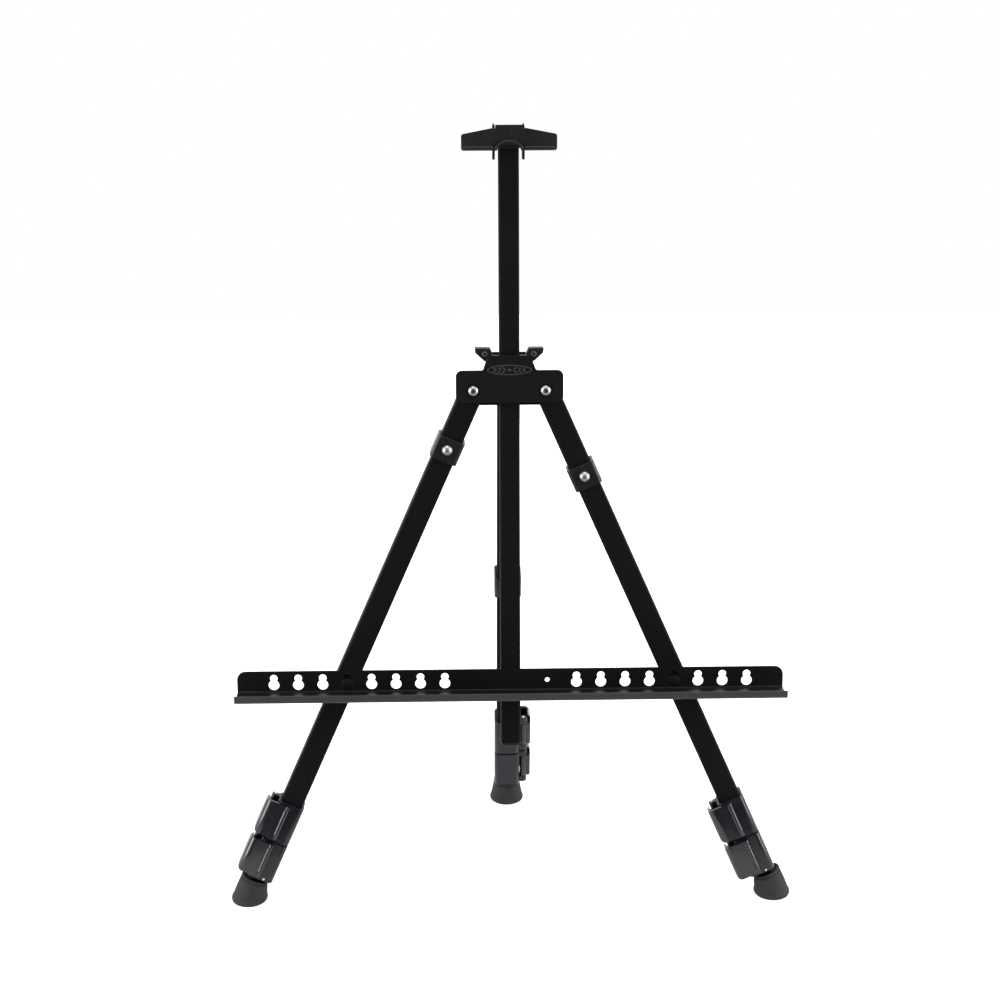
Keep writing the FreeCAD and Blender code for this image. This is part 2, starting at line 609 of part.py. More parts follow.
def mast_guide():
    """The moulded block between the plates that the mast runs in."""
    depth = PLATE_GAP - FIT
    lower = box(-GUIDE_HALF, GUIDE_HALF, -depth, depth, HEAD_BOTTOM + GUIDE_LOW_RISE, GUIDE_NECK)
    right = [(HEAD_NECK_HALF - GUIDE_INSET, GUIDE_NECK), (HEAD_TOP_HALF - GUIDE_INSET, GUIDE_TOP)]
    body = lower.fuse(plate(right + mirrored(right), -depth, depth))
    hole = MAST_SIDE + 2 * SLIDE
    body = body.cut(bar(hole, hole, TUBE_CORNER, HEAD_BOTTOM - 1, GUIDE_TOP + 1))
    slot = LOCK_WIDTH / 2 + LOCK_SLOT_SIDE
    for side in (-1, 1):
        edges = sorted((side * (MAST_HALF - 1), side * 2 * HEAD_NECK_HALF))
        body = body.cut(box(*edges, -slot, slot + spring_room(), GUIDE_SLOT_FLOOR, GUIDE_TOP + 1))
        x = side * LOCK_PIVOT_X
        body = body.cut(rod_y(LOCK_PIN_RADIUS + FIT, x, LOCK_PIVOT_UP, -depth - 1, depth + 1))
    return body.removeSplitter()


def spring_room():
    return 2 * SPRING_WIRE * (SPRING_TURNS + 1) + REST


def lock_lever(side):
    """Squeeze lever of the mast lock, with its ear above the head."""
    half = LOCK_WIDTH / 2
    root = LOCK_ROOT
    outline = [
        (LOCK_PIVOT_X - root + LOCK_TAPER, LOCK_PIVOT_UP),
        (LOCK_PIVOT_X - root, LOCK_PIVOT_UP + LOCK_NECK),
        (LOCK_PIVOT_X, EAR_TOP),
        (EAR_TIP, EAR_TOP),
        (EAR_TIP, EAR_TOP - EAR_LIP),
        (LOCK_PIVOT_X + root + LOCK_SPREAD, LOCK_PIVOT_UP + LOCK_FLARE),
        (LOCK_PIVOT_X + root, LOCK_PIVOT_UP),
    ]
    tip = MAST_HALF + PAWL_GAP
    high = LOCK_PIVOT_UP + PAWL_HALF
    low = LOCK_PIVOT_UP - PAWL_HALF
    pawl = [(LOCK_PIVOT_X, high), (tip, high - PAWL_SLOPE), (tip, low - PAWL_DIP), (LOCK_PIVOT_X, low)]
    if side < 0:
        outline = mirrored(outline)
        pawl = mirrored(pawl)
    ear = plate(outline, -half, half)
    ear = rounded(ear, LOCK_ROUND, Y_AXIS, lambda p: p.z > LOCK_PIVOT_UP + 1)
    body = ear.fuse(plate(pawl, -half, half))
    x = side * LOCK_PIVOT_X
    body = body.fuse(rod_y(LOCK_KNUCKLE, x, LOCK_PIVOT_UP, -half, half))
    body = body.cut(rod_y(LOCK_PIN_RADIUS + RUN, x, LOCK_PIVOT_UP, -half - 1, half + 1))
    return body.removeSplitter()


def lock_pin(side):
    depth = PLATE_GAP - REST
    return rod_y(LOCK_PIN_RADIUS, side * LOCK_PIVOT_X, LOCK_PIVOT_UP, -depth, depth)


def lock_spring(side):
    """A small torsion coil on the lever's pin, beside the lever."""
    radius = LOCK_PIN_RADIUS + REST + SPRING_WIRE
    pitch = 2 * SPRING_WIRE + 0.1
    start = LOCK_WIDTH / 2 + REST + SPRING_WIRE
    helix = Part.makeHelix(pitch, pitch * SPRING_TURNS, radius)
    ring = Part.Wire(Part.makeCircle(SPRING_WIRE, Vector(radius, 0, 0), Y_AXIS))
    coil = Part.Wire(helix).makePipeShell([ring], True, True)
    coil.rotate(ORIGIN, X_AXIS, -90)
    coil.translate(Vector(side * LOCK_PIVOT_X, start, LOCK_PIVOT_UP))
    return coil


# Rear hinge
def rear_bracket():
    gap = LEG_HALF + REST
    out = gap + SHEET
    body = box(-out, out, PLATE_OUT + FIT, BRACKET_BASE, BRACKET_LOW, BRACKET_HIGH)
    for side in (-1, 1):
        edges = sorted((side * gap, side * out))
        body = body.fuse(bracket_ear(*edges))
    body = body.cut(rod_x(BOLT_RADIUS + FIT, REAR_OFFSET, REAR_RISE, -out - 1, out + 1))
    for x, z in plate_rivet_places():
        body = body.cut(rod_y(PLATE_RIVET + FIT, x, z, 0, BRACKET_BASE + 1))
    return body.removeSplitter()


def bracket_ear(left, right):
    """One side of the bracket, tapering from its base to a round nose at the bolt."""
    side = [
        (PLATE_OUT + FIT, BRACKET_LOW),
        (BRACKET_BASE, BRACKET_LOW),
        (REAR_OFFSET, REAR_RISE - BRACKET_EAR),
        (REAR_OFFSET, REAR_RISE + BRACKET_EAR),
        (BRACKET_BASE, BRACKET_HIGH),
        (PLATE_OUT + FIT, BRACKET_HIGH),
    ]
    points = [Vector(left, y, z) for y, z in side]
    face = Part.Face(Part.makePolygon(points + points[:1]))
    ear = face.extrude(Vector(right - left, 0, 0))
    return ear.fuse(rod_x(BRACKET_EAR, REAR_OFFSET, REAR_RISE, left, right))


def rear_bolt():
    out = LEG_HALF + REST + SHEET
    body = rod_x(BOLT_RADIUS, REAR_OFFSET, REAR_RISE, -out - 1, out + NUT_THICKNESS + 1)
    head = rod_x(BOLT_HEAD_RADIUS, REAR_OFFSET, REAR_RISE, -out - FIT - BOLT_HEAD, -out - FIT)
    head = head.makeFillet(BOLT_HEAD / 2, [e for e in head.Edges if e.CenterOfMass.x < -out - 1])
    return body.fuse(head).removeSplitter()


def rear_nut():
    out = LEG_HALF + REST + SHEET + FIT
    corner = NUT_FLAT / math.cos(math.radians(30))
    turns = [math.radians(60 * k) for k in range(6)]
    ring = [Vector(out, REAR_OFFSET + corner * math.cos(a), REAR_RISE + corner * math.sin(a)) for a in turns]
    body = Part.Face(Part.makePolygon(ring + ring[:1])).extrude(Vector(NUT_THICKNESS, 0, 0))
    return body.cut(rod_x(BOLT_RADIUS + FIT, REAR_OFFSET, REAR_RISE, out - 1, out + NUT_THICKNESS + 1))


def plate_rivets():
    ends = (PLATE_GAP + 0.1, BRACKET_BASE)
    return [rod_y(PLATE_RIVET, x, z, *ends) for x, z in plate_rivet_places()]


# Tray: in the front plane's frame, z up the plane from the floor line
def tray_profile():
    """The bent sheet's cross-section as an outline of y, z points."""
    top = TRAY_CENTRE + TRAY_BACK / 2
    low = TRAY_CENTRE - TRAY_BACK / 2
    front = TRAY_FACE - TRAY_SHEET
    edge = TRAY_FACE - TRAY_SHELF
    return [
        (TRAY_FACE, top),
        (TRAY_FACE, low),
        (edge, low),
        (edge, low + TRAY_LIP),
        (edge + TRAY_SHEET, low + TRAY_LIP),
        (edge + TRAY_SHEET, low + TRAY_SHEET),
        (front, low + TRAY_SHEET),
        (front, top),
    ]


def tray():
    half = TRAY_LENGTH / 2
    points = [Vector(-half, y, z) for y, z in tray_profile()]
    sheet = Part.Face(Part.makePolygon(points + points[:1])).extrude(Vector(TRAY_LENGTH, 0, 0))
    low = TRAY_CENTRE - TRAY_BACK / 2
    mid = TRAY_FACE - TRAY_SHELF / 2
    inner = TRAY_BEND - TRAY_SHEET
    sheet = rounded(sheet, TRAY_BEND, X_AXIS, lambda p: abs(p.z - low) < 0.1)
    sheet = rounded(sheet, inner, X_AXIS, lambda p: abs(p.z - low - TRAY_SHEET) < 0.1)
    sheet = rounded(sheet, TRAY_SHEET * 0.4, X_AXIS, lambda p: p.y < mid and p.z > low + TRAY_LIP - 0.1)
    corners = [e for e in sheet.Edges if runs_along(e, Y_AXIS) and e.CenterOfMass.z > TRAY_CENTRE]
    sheet = sheet.makeFillet(TRAY_CORNER, corners)
    for side in (-1, 1):
        for k in range(KEYHOLES):
            sheet = sheet.cut(keyhole(side * (KEY_FIRST + k * KEY_PITCH)))
    return sheet.cut(tray_rod(TRAY_HOLE_RADIUS, TRAY_HOLE_X, TRAY_CENTRE)).removeSplitter()


def tray_rod(radius, x, z):
    return rod_y(radius, x, z, TRAY_FACE - TRAY_SHEET - 1, TRAY_FACE + 1)


def keyhole(x):
    """A small round hole that runs into a larger one below it."""
    upper = TRAY_CENTRE + KEY_TOTAL / 2 - KEY_SMALL
    small = tray_rod(KEY_SMALL, x, upper)
    return small.fuse(tray_rod(KEY_LARGE, x, upper - KEY_RISE)).removeSplitter()


def peg_height():
    return TRAY_CENTRE - KEY_TOTAL / 2 + KEY_LARGE


def tray_peg(side):
    """A stud pressed into a keyhole; its tail drops into the leg's hole."""
    x = side * PEG_X
    face = TRAY_FACE - TRAY_SHEET
    z = peg_height()
    plug = rod_y(KEY_LARGE - FIT, x, z, face - FIT, TRAY_FACE)
    tail = rod_y(PEG_RADIUS, x, z, TRAY_FACE, -LEG_HALF + PEG_DEPTH)
    return plug.fuse(tail).fuse(dome(PEG_HEAD, PEG_RISE, x, z, face - FIT)).removeSplitter()


# Canvas holder: in the head's frame
def holder_sleeve():
    body = bar(HOLDER_SIDE, HOLDER_SIDE, HOLDER_CORNER, HOLDER_BOTTOM, HOLDER_TOP)
    hole = MAST_SIDE + 2 * SLIDE
    half = HOLDER_SIDE / 2
    for side in (-1, 1):
        edges = sorted((side * (half - 1), side * (GRIP_AXIS + GRIP_KNUCKLE)))
        for y in (-GRIP_WIDTH / 2 - GRIP_EAR - REST, GRIP_WIDTH / 2 + REST):
            low = GRIP_PIVOT - GRIP_EAR
            body = body.fuse(box(*edges, y, y + GRIP_EAR, low, GRIP_PIVOT + GRIP_EAR))
        reach = GRIP_WIDTH / 2 + GRIP_EAR + 1
        body = body.cut(rod_y(GRIP_PIN + FIT, side * GRIP_AXIS, GRIP_PIVOT, -reach, reach))
    body = body.cut(bar(hole, hole, TUBE_CORNER, HOLDER_BOTTOM - 1, HOLDER_TOP + 1))
    return body.removeSplitter()


def holder_jaw():
    """The T-shaped channel that holds a canvas by its top edge."""
    right = [
        (JAW_HALF, JAW_BOTTOM),
        (JAW_HALF, JAW_END_TOP),
        (JAW_MID_HALF, JAW_MID_TOP),
        (JAW_BLOCK_HALF, JAW_MID_TOP),
        (JAW_BLOCK_HALF, JAW_BLOCK_TOP),
    ]
    lip = plate(right + mirrored(right), JAW_BACK - JAW_WALL, JAW_BACK)
    lip = rounded(lip, JAW_CORNER, Y_AXIS, lambda p: abs(p.x) > JAW_HALF - 1)
    front = JAW_BACK - JAW_WALL
    wedge = [(front, JAW_BOTTOM), (front + JAW_BEVEL, JAW_BOTTOM), (front, JAW_BOTTOM + 2 * JAW_BEVEL)]
    points = [Vector(-JAW_HALF - 1, y, z) for y, z in wedge]
    bevel = Part.Face(Part.makePolygon(points + points[:1])).extrude(Vector(2 * JAW_HALF + 2, 0, 0))
    lip = lip.cut(bevel)
    rim = (ARCH_HALF + ARCH_RIM, ARCH_RISE + ARCH_RIM_RISE)
    rim = oval(*rim, JAW_BOTTOM, front - ARCH_STAND, front + JAW_WALL / 2)
    lip = lip.fuse(rim.cut(box(-JAW_HALF, JAW_HALF, 2 * front, 0, 0, JAW_BOTTOM)))
    lip = lip.cut(oval(ARCH_HALF, ARCH_RISE, JAW_BOTTOM, 2 * front, JAW_BACK + 1))
    roof = JAW_END_TOP - ROOF_DROP
    roof_low = roof - JAW_WALL
    back = -(HOLDER_SIDE / 2 + FIT)
    span = JAW_HALF - JAW_CORNER - JAW_BEVEL
    wings = box(-span, span, JAW_BACK - 0.5, back, roof_low, roof)
    wings = rounded(wings, ROOF_CORNER, Z_AXIS, lambda p: p.y > JAW_BACK)
    spine = (JAW_BLOCK_HALF - JAW_BEVEL, JAW_MID_TOP - JAW_BEVEL)
    spine = box(-spine[0], spine[0], JAW_BACK - 0.5, back, roof_low, spine[1])
    return lip.fuse(wings).fuse(spine).removeSplitter()


def holder_grip(side):
    """Squeeze lever at the side of the holder."""
    inner = GRIP_X
    low = GRIP_BOTTOM
    high = GRIP_BOTTOM + GRIP_LENGTH
    outline = [
        (inner, low),
        (inner + GRIP_WALL, low),
        (inner + GRIP_WALL, high - GRIP_CHAMFER),
        (inner + GRIP_WALL * GRIP_TIP, high),
        (inner, high - GRIP_NOTCH),
    ]
    if side < 0:
        outline = mirrored(outline)
    half = GRIP_WIDTH / 2
    body = plate(outline, -half, half)
    x = side * GRIP_AXIS
    body = body.fuse(rod_y(GRIP_KNUCKLE, x, GRIP_PIVOT, -half, half))
    return body.cut(rod_y(GRIP_PIN + RUN, x, GRIP_PIVOT, -half - 1, half + 1)).removeSplitter()


def holder_pin(side):
    reach = GRIP_WIDTH / 2 + GRIP_EAR + REST
    return rod_y(GRIP_PIN, side * GRIP_AXIS, GRIP_PIVOT, -reach, reach)


def leg_parts(name):
    place, reach, top, along = LEGS[name]
    upper = -(reach - UPPER_CLAMP)
    lower = -(reach - LOWER_CLAMP)
    if name == "rear":
        outer = rear_leg_outer(reach, top)
    else:
        outer = front_leg_outer(reach, top, SIDES[name])
    pieces = {
        "outer_tube": outer,
        "middle_tube": leg_middle(reach),
        "inner_tube": leg_inner(reach),
        "top_plug": end_plug(LEG_OUTER, top, 1),
        "upper_clamp": clamp_body(upper, LEG_OUTER, LEG_MIDDLE),
        "lower_clamp": clamp_body(lower, LEG_MIDDLE, LEG_INNER),
        "upper_lever": clamp_lever(upper),
        "lower_lever": clamp_lever(lower),
        "upper_lever_pin": clamp_pin(upper),
        "lower_lever_pin": clamp_pin(lower),
        "collar": collar(along),
        "collar_stud": collar_stud(along),
    }
    made = {f"{name}_{piece}": placed(shape, place) for piece, shape in pieces.items()}
    made[f"{name}_foot"] = foot(place, reach)
    return made


def head_parts():
    sides = (-1, 1)
    washers = [leg_washer(side, face) for side in sides for face in sides]
    plugs = [end_plug(MAST_SIDE, MAST_ABOVE, 1), end_plug(MAST_SIDE, -MAST_BELOW, -1)]
    pieces = {
        "head_front_plate": head_front_plate(),
        "head_back_plate": head_back_plate(),
        "head_rivets": Part.makeCompound([leg_rivet(side) for side in sides] + plate_rivets()),
        "leg_washers": Part.makeCompound(washers),
        "mast_guide": mast_guide(),
        "mast_lock_lever_left": lock_lever(-1),
        "mast_lock_lever_right": lock_lever(1),
        "mast_lock_pins": Part.makeCompound([lock_pin(side) for side in sides]),
        "mast_lock_springs": Part.makeCompound([lock_spring(side) for side in sides]),
        "rear_bracket": rear_bracket(),
        "rear_hinge_bolt": rear_bolt(),
        "rear_hinge_nut": rear_nut(),
        "mast_tube": tube(MAST_SIDE, -MAST_BELOW, MAST_ABOVE),
        "mast_end_plugs": Part.makeCompound(plugs),
        "holder_sleeve": holder_sleeve(),
        "holder_jaw": holder_jaw(),
        "holder_grip_left": holder_grip(-1),
        "holder_grip_right": holder_grip(1),
        "holder_pins": Part.makeCompound([holder_pin(side) for side in sides]),
    }
    return {name: placed(shape, HEAD) for name, shape in pieces.items()}


def tray_parts():
    pegs = Part.makeCompound([tray_peg(side) for side in (-1, 1)])
    return {"tray": placed(tray(), FRONT), "tray_pegs": placed(pegs, FRONT)}


def centred(parts):
    """Move the whole easel so that its box stands centred on the origin, and give the shift."""
    whole = Part.makeCompound(list(parts.values())).optimalBoundingBox()
    shift = Vector(-whole.Center.x, -whole.Center.y, -whole.ZMin)
    for shape in parts.values():
        shape.translate(shift)
    return shift


def build():
    parts = head_parts()
    for name in LEGS:
        parts.update(leg_parts(name))
    parts.update(tray_parts())
    shift = centred(parts)
    os.makedirs("parts", exist_ok=True)
    for name, shape in parts.items():
        shape.exportStep(f"parts/{name}.step")
    return parts, shift


PARTS, SHIFT = build()
print(len(PARTS), "nodes, moved by", [round(v, 2) for v in SHIFT])
print("not valid:", [name for name, shape in PARTS.items() if not shape.isValid()])
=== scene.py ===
"""Looks of a folding tabletop easel, built round its packed frame.

Laid out as an add-on: property groups hold the sizes and colours, one operator makes each group
of like pieces, and a panel in the 3D view's sidebar lists them. Lengths are in metres.
"""
import json
import math

import bmesh
import bpy
from bpy.props import FloatProperty, FloatVectorProperty, IntProperty, PointerProperty
from mathutils import Matrix, Vector


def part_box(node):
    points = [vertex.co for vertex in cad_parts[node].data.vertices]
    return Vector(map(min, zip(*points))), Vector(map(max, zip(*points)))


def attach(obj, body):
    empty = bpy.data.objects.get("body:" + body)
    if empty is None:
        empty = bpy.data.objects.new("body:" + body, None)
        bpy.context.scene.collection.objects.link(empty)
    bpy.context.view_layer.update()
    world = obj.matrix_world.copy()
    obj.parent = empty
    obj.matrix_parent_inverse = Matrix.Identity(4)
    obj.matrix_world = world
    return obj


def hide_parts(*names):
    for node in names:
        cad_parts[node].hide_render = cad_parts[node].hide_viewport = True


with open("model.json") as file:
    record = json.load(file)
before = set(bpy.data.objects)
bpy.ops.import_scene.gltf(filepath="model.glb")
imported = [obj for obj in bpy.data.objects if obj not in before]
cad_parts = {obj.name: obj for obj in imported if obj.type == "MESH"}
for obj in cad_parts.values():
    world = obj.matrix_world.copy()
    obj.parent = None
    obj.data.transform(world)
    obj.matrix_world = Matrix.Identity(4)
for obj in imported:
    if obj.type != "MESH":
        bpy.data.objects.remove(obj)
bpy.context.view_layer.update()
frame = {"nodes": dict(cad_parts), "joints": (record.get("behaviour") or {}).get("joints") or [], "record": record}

bl_info = {
    "name": "Tabletop Easel",
    "version": (1, 0, 0),
    "blender": (4, 5, 0),
    "location": "3D View > Sidebar > Easel",
    "description": "Dresses the frame of a folding tripod easel with its finishes and mouldings",
    "category": "Object",
}

MM = 0.001
LEGS = ("left", "right", "rear")
STAGES = ("upper", "lower")
RIDGES = 4  # on each thumb ear
RIB_STEPS = (0.0, 0.02, 0.05, 0.5, 0.95, 0.98, 1.0)  # along a lever's rib, from its lower end
BOSS_FACETS = 24  # round a thumb pad's boss
SCREW_FACETS = 20
# The screw's head: shares of its radius, and millimetres out
SCREW_HEAD = ((1.0, -0.2), (1.0, 0.15), (0.9, 0.45), (0.6, 0.6), (0.42, 0.6), (0.36, 0.3), (0.05, 0.3))
SHARP = 40.0  # degrees between faces from which an edge is softened
OVAL_STEPS = 64  # round the head's oval
ARCH_STEPS = 24  # over the holder's arch
SENSOR = 36.0  # camera sensor width, millimetres
LAMP_AIM = Vector((0, 0, 0.3))  # where every lamp points
JOINTS = {joint["name"]: joint for joint in frame["joints"]}
NODES = frame["nodes"]
BODY_NODES = frame["record"]["behaviour"]["bodies"]


# Shader sockets as Python values
class Signal:
    """An output socket; arithmetic on it adds Math nodes to its tree."""

    def __init__(self, socket):
        self.socket = socket
        self.tree = socket.id_data

    def math(self, operation, *others, clamp=False):
        node = self.tree.nodes.new("ShaderNodeMath")
        node.operation = operation
        node.use_clamp = clamp
        for slot, item in zip(node.inputs, (self, *others)):
            connect(self.tree, slot, item)
        return Signal(node.outputs[0])

    def __add__(self, other):
        return self.math("ADD", other)

    def __sub__(self, other):
        return self.math("SUBTRACT", other)

    def __rsub__(self, other):
        return (self * -1) + other

    def __mul__(self, other):
        return self.math("MULTIPLY", other)

    __radd__ = __add__
    __rmul__ = __mul__

    def limited(self):
        return self.math("ADD", 0.0, clamp=True)

    def between(self, low, high):
        """0 below low, 1 above high and even between them."""
        return ((self - low) * (1 / (high - low))).limited()


def connect(tree, slot, item):
    if isinstance(item, Signal):
        tree.links.new(item.socket, slot)
    elif slot.type == "RGBA":
        slot.default_value = (*item[:3], 1.0)
    else:
        slot.default_value = item


class Sheet:
    """A material or world being written: its tree, and one method for any node."""

    def __init__(self, owner):
        owner.use_nodes = True
        self.owner = owner
        self.tree = owner.node_tree
        self.tree.nodes.clear()

    def node(self, kind, settings=None, inputs=None, output=0):
        """Add a node, set it up, feed its sockets and return one of its outputs."""
        node = self.tree.nodes.new(f"ShaderNode{kind}")
        for key, value in (settings or {}).items():
            setattr(node, key, value)
        for key, value in (inputs or {}).items():
            connect(self.tree, node.inputs[key], value)
        return Signal(node.outputs[output]) if node.outputs else node

    def blend(self, factor, low, high):
        """Mix two colours."""
        inputs = {"Factor": factor, "A": low, "B": high}
        node = self.tree.nodes.new("ShaderNodeMix")
        node.data_type = "RGBA"
        for slot in node.inputs:
            if slot.enabled and slot.name in inputs:
                connect(self.tree, slot, inputs[slot.name])
        return Signal(next(s for s in node.outputs if s.enabled))

    def place(self):
        """Coordinates fixed to the piece, in metres."""
        return self.node("TexCoord", output="Object")

    def stretched(self, scale):
        """The piece's coordinates scaled along x, y and z."""
        return self.node("Mapping", None, {"Vector": self.place(), "Scale": scale})

    def noise(self, scale, detail=2.0, roughness=0.5, where=None):
        """Noise from 0 to 1 whose features are about 1 / scale metres wide."""
        inputs = {"Scale": scale, "Detail": detail, "Roughness": roughness}
        inputs["Vector"] = where or self.place()
        return self.node("TexNoise", {"noise_dimensions": "3D"}, inputs, "Fac")

    def surface(self, inputs, **constants):
        """End the material in a Principled shader."""
        shader = self.node("BsdfPrincipled", None, {**constants_named(constants), **inputs}, "BSDF")
        self.node("OutputMaterial", None, {"Surface": shader})
        return self.owner


def constants_named(constants):
    return {name.replace("_", " ").title().replace("Ior", "IOR"): value for name, value in constants.items()}


# Finishes
def painted_steel(name, colour, gloss, lip=None, shine=1.0):
    """Baked-on paint over sheet or tube: a fine orange peel, cloudy gloss and rubbed edges."""
    look = bpy.context.scene.easel_finish
    sheet = Sheet(bpy.data.materials.new(name))
    peel = sheet.noise(1 / look.peel_size, 3.0)
    speck = sheet.noise(4 / look.peel_size, 1.0)
    cloud = sheet.noise(22.0, 4.0, 0.6)
    streak = sheet.noise(60.0, 3.0, 0.55, sheet.stretched((1.0, 1.0, 0.12)))
    worn = edge_mask(sheet, 0.35 * MM) * sheet.noise(170.0, 4.0).between(0.45, 0.68)
    dust = sheet.noise(1100.0, 3.0, 0.7).between(0.60, 0.72)
    tone = sheet.blend(cloud.between(0.3, 0.75), [c * 0.9 for c in colour], [c * 1.12 for c in colour])
    tone = sheet.blend(dust * 0.05, tone, look.rubbed_colour)
    tone = sheet.blend(worn * look.edge_wear, tone, look.rubbed_colour)
    # Painted sheen: the front lip's paint is made paler to stand for the light it catches, not for wear.
    if lip:
        y = sheet.node("SeparateXYZ", None, {"Vector": sheet.place()}, "Y")
        front = 1 - y.between(*lip)
        tone = sheet.blend(front * (0.7 + cloud * 0.3), tone, look.lip_sheen_colour)
    rough = gloss + (cloud - 0.5) * 0.06 + (streak - 0.5) * 0.08 + dust * 0.06 - worn * 0.08
    height = peel * 0.8 + speck * 0.25
    bump = sheet.node("Bump", None, {"Strength": 0.35, "Distance": look.peel_height, "Height": height})
    return sheet.surface(
        {"Base Color": tone, "Roughness": rough.limited(), "Normal": bump},
        specular_ior_level=look.paint_specular * shine,
    )


def relief_highlight_paint():
    """Head paint rubbed paler on raised work."""
    look = bpy.context.scene.easel_finish
    return painted_steel("easel_relief_highlight", look.relief_highlight_paint, look.paint_roughness - 0.06)


def edge_mask(sheet, radius):
    """1 along edges and corners, 0 from a radius away."""
    rounded = sheet.node("Bevel", {"samples": 4}, {"Radius": radius})
    flat = sheet.node("NewGeometry", output="Normal")
    likeness = sheet.node("VectorMath", {"operation": "DOT_PRODUCT"}, {0: rounded, 1: flat}, "Value")
    return 1 - likeness.between(0.80, 0.97)


def moulded_plastic(name, colour, gloss, coat=0.0, shine=1.0):
    """Injection-moulded nylon: fine spark texture, faint flow clouds, hairline scratches."""
    look = bpy.context.scene.easel_finish
    sheet = Sheet(bpy.data.materials.new(name))
    spark = sheet.noise(2600.0, 2.0)
    flow = sheet.noise(45.0, 3.0, 0.6, sheet.stretched((1.0, 1.0, 0.35)))
    hair = sheet.noise(900.0, 2.0, 0.5, sheet.stretched((1.0, 1.0, 0.04))).between(0.62, 0.72)
    worn = edge_mask(sheet, 0.3 * MM) * flow.between(0.35, 0.6)
    tone = sheet.blend(flow.between(0.3, 0.7), [c * 0.85 for c in colour], [c * 1.2 for c in colour])
    tone = sheet.blend((hair * 0.10 + worn * 0.22).limited(), tone, look.rubbed_colour)
    rough = gloss + (flow - 0.5) * 0.14 + hair * 0.1
    bump = sheet.node("Bump", None, {"Strength": 0.3, "Distance": 0.04 * MM, "Height": spark})
    return sheet.surface(
        {"Base Color": tone, "Roughness": rough.limited(), "Normal": bump},
        specular_ior_level=look.plastic_specular * shine,
        coat_roughness=0.12,
        coat_weight=coat,
    )


def highlight_pale_plastic():
    """Moulded nylon that catches more light, on small raised work."""
    look = bpy.context.scene.easel_finish
    return moulded_plastic("easel_highlight_pale_nylon", look.highlight_pale_plastic, 0.3)


def rubber(name, colour):
    """Matt grey rubber with a dusty bloom and a scuffed sole."""
    sheet = Sheet(bpy.data.materials.new(name))
    grain = sheet.noise(1500.0, 4.0, 0.6)
    bloom = sheet.noise(120.0, 5.0, 0.65)
    height = sheet.node("SeparateXYZ", None, {"Vector": sheet.place()}, "Z")
    low = 1 - height.between(1.0 * MM, 6.0 * MM)
    tone = sheet.blend(bloom.between(0.25, 0.75), [c * 0.72 for c in colour], [c * 1.3 for c in colour])
    tone = sheet.blend(low * bloom.between(0.4, 0.7) * 0.5, tone, [c * 2.4 for c in colour])
    rough = 0.72 + (bloom - 0.5) * 0.25
    bump = sheet.node("Bump", None, {"Strength": 0.5, "Distance": 0.12 * MM, "Height": grain + bloom * 0.6})
    return sheet.surface(
        {"Base Color": tone, "Roughness": rough.limited(), "Normal": bump}, specular_ior_level=0.3
    )


def plated_steel(name, colour, gloss):
    """Bright zinc plate with faint draw marks and dulled patches."""
    sheet = Sheet(bpy.data.materials.new(name))
    marks = sheet.noise(1400.0, 3.0, 0.6, sheet.stretched((1.0, 0.15, 1.0)))
    dull = sheet.noise(260.0, 4.0, 0.6)
    tone = sheet.blend(dull.between(0.3, 0.75), [c * 0.82 for c in colour], colour)
    rough = gloss + dull.between(0.35, 0.8) * 0.2 + (marks - 0.5) * 0.1
    bump = sheet.node("Bump", None, {"Strength": 0.25, "Distance": 0.03 * MM, "Height": marks})
    return sheet.surface(
        {"Base Color": tone, "Roughness": rough.limited(), "Normal": bump}, metallic=1.0
    )


def nylon(name, colour):
    """Milky washer nylon, slightly mottled."""
    sheet = Sheet(bpy.data.materials.new(name))
    mottle = sheet.noise(400.0, 3.0)
    tone = sheet.blend(mottle, [c * 0.86 for c in colour], colour)
    bump = sheet.node("Bump", None, {"Strength": 0.2, "Distance": 0.05 * MM, "Height": mottle})
    rough = 0.45 + (mottle - 0.5) * 0.2
    return sheet.surface({"Base Color": tone, "Roughness": rough, "Normal": bump})


def tray_lip_sheen():
    """The y values between which the tray's front lip ends, for its paler worn paint."""
    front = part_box("tray")[0].y
    return front + 1.5 * MM, front + 2.1 * MM


def finish(slot):
    """The material of one of the record's slots, made once."""
    name = f"easel_{slot}"
    if name in bpy.data.materials:
        return bpy.data.materials[name]
    look = bpy.context.scene.easel_finish
    makers = {
        "head_black": lambda: painted_steel(name, look.paint, look.paint_roughness),
        "tube_black": lambda: painted_steel(name, look.tube_paint, look.paint_roughness + 0.18, shine=0.4),
        "tray_black": lambda: painted_steel(name, look.tray_paint, look.paint_roughness - 0.08, tray_lip_sheen()),
        "peg_black": lambda: painted_steel(name, look.tray_paint, look.paint_roughness + 0.1, shine=0.4),
        "rivet_steel": lambda: plated_steel(name, [c * 0.62 for c in look.plating], 0.3),
        "zinc_steel": lambda: plated_steel(name, look.plating, 0.28),
        "spring_steel": lambda: plated_steel(name, look.spring_colour, 0.3),
        "washer_nylon": lambda: nylon(name, look.nylon),
        "moulded_black": lambda: moulded_plastic(name, look.plastic, 0.36),
        "collar_black": lambda: moulded_plastic(name, look.plastic, 0.28, 0.05),
        "clamp_black": lambda: moulded_plastic(name, look.clamp_plastic, 0.22, 0.05, 1.3),
        "lever_black": lambda: moulded_plastic(name, look.clamp_plastic, 0.18, 0.1, 2.0),
        "foot_rubber": lambda: rubber(name, look.rubber),
    }
    return makers[slot]()


# Frames that the packed joints give
def across(up, back):
    """Rotation whose z is up and whose y is back."""
    side = back.cross(up).normalized()
    return Matrix((side, back, up)).transposed()


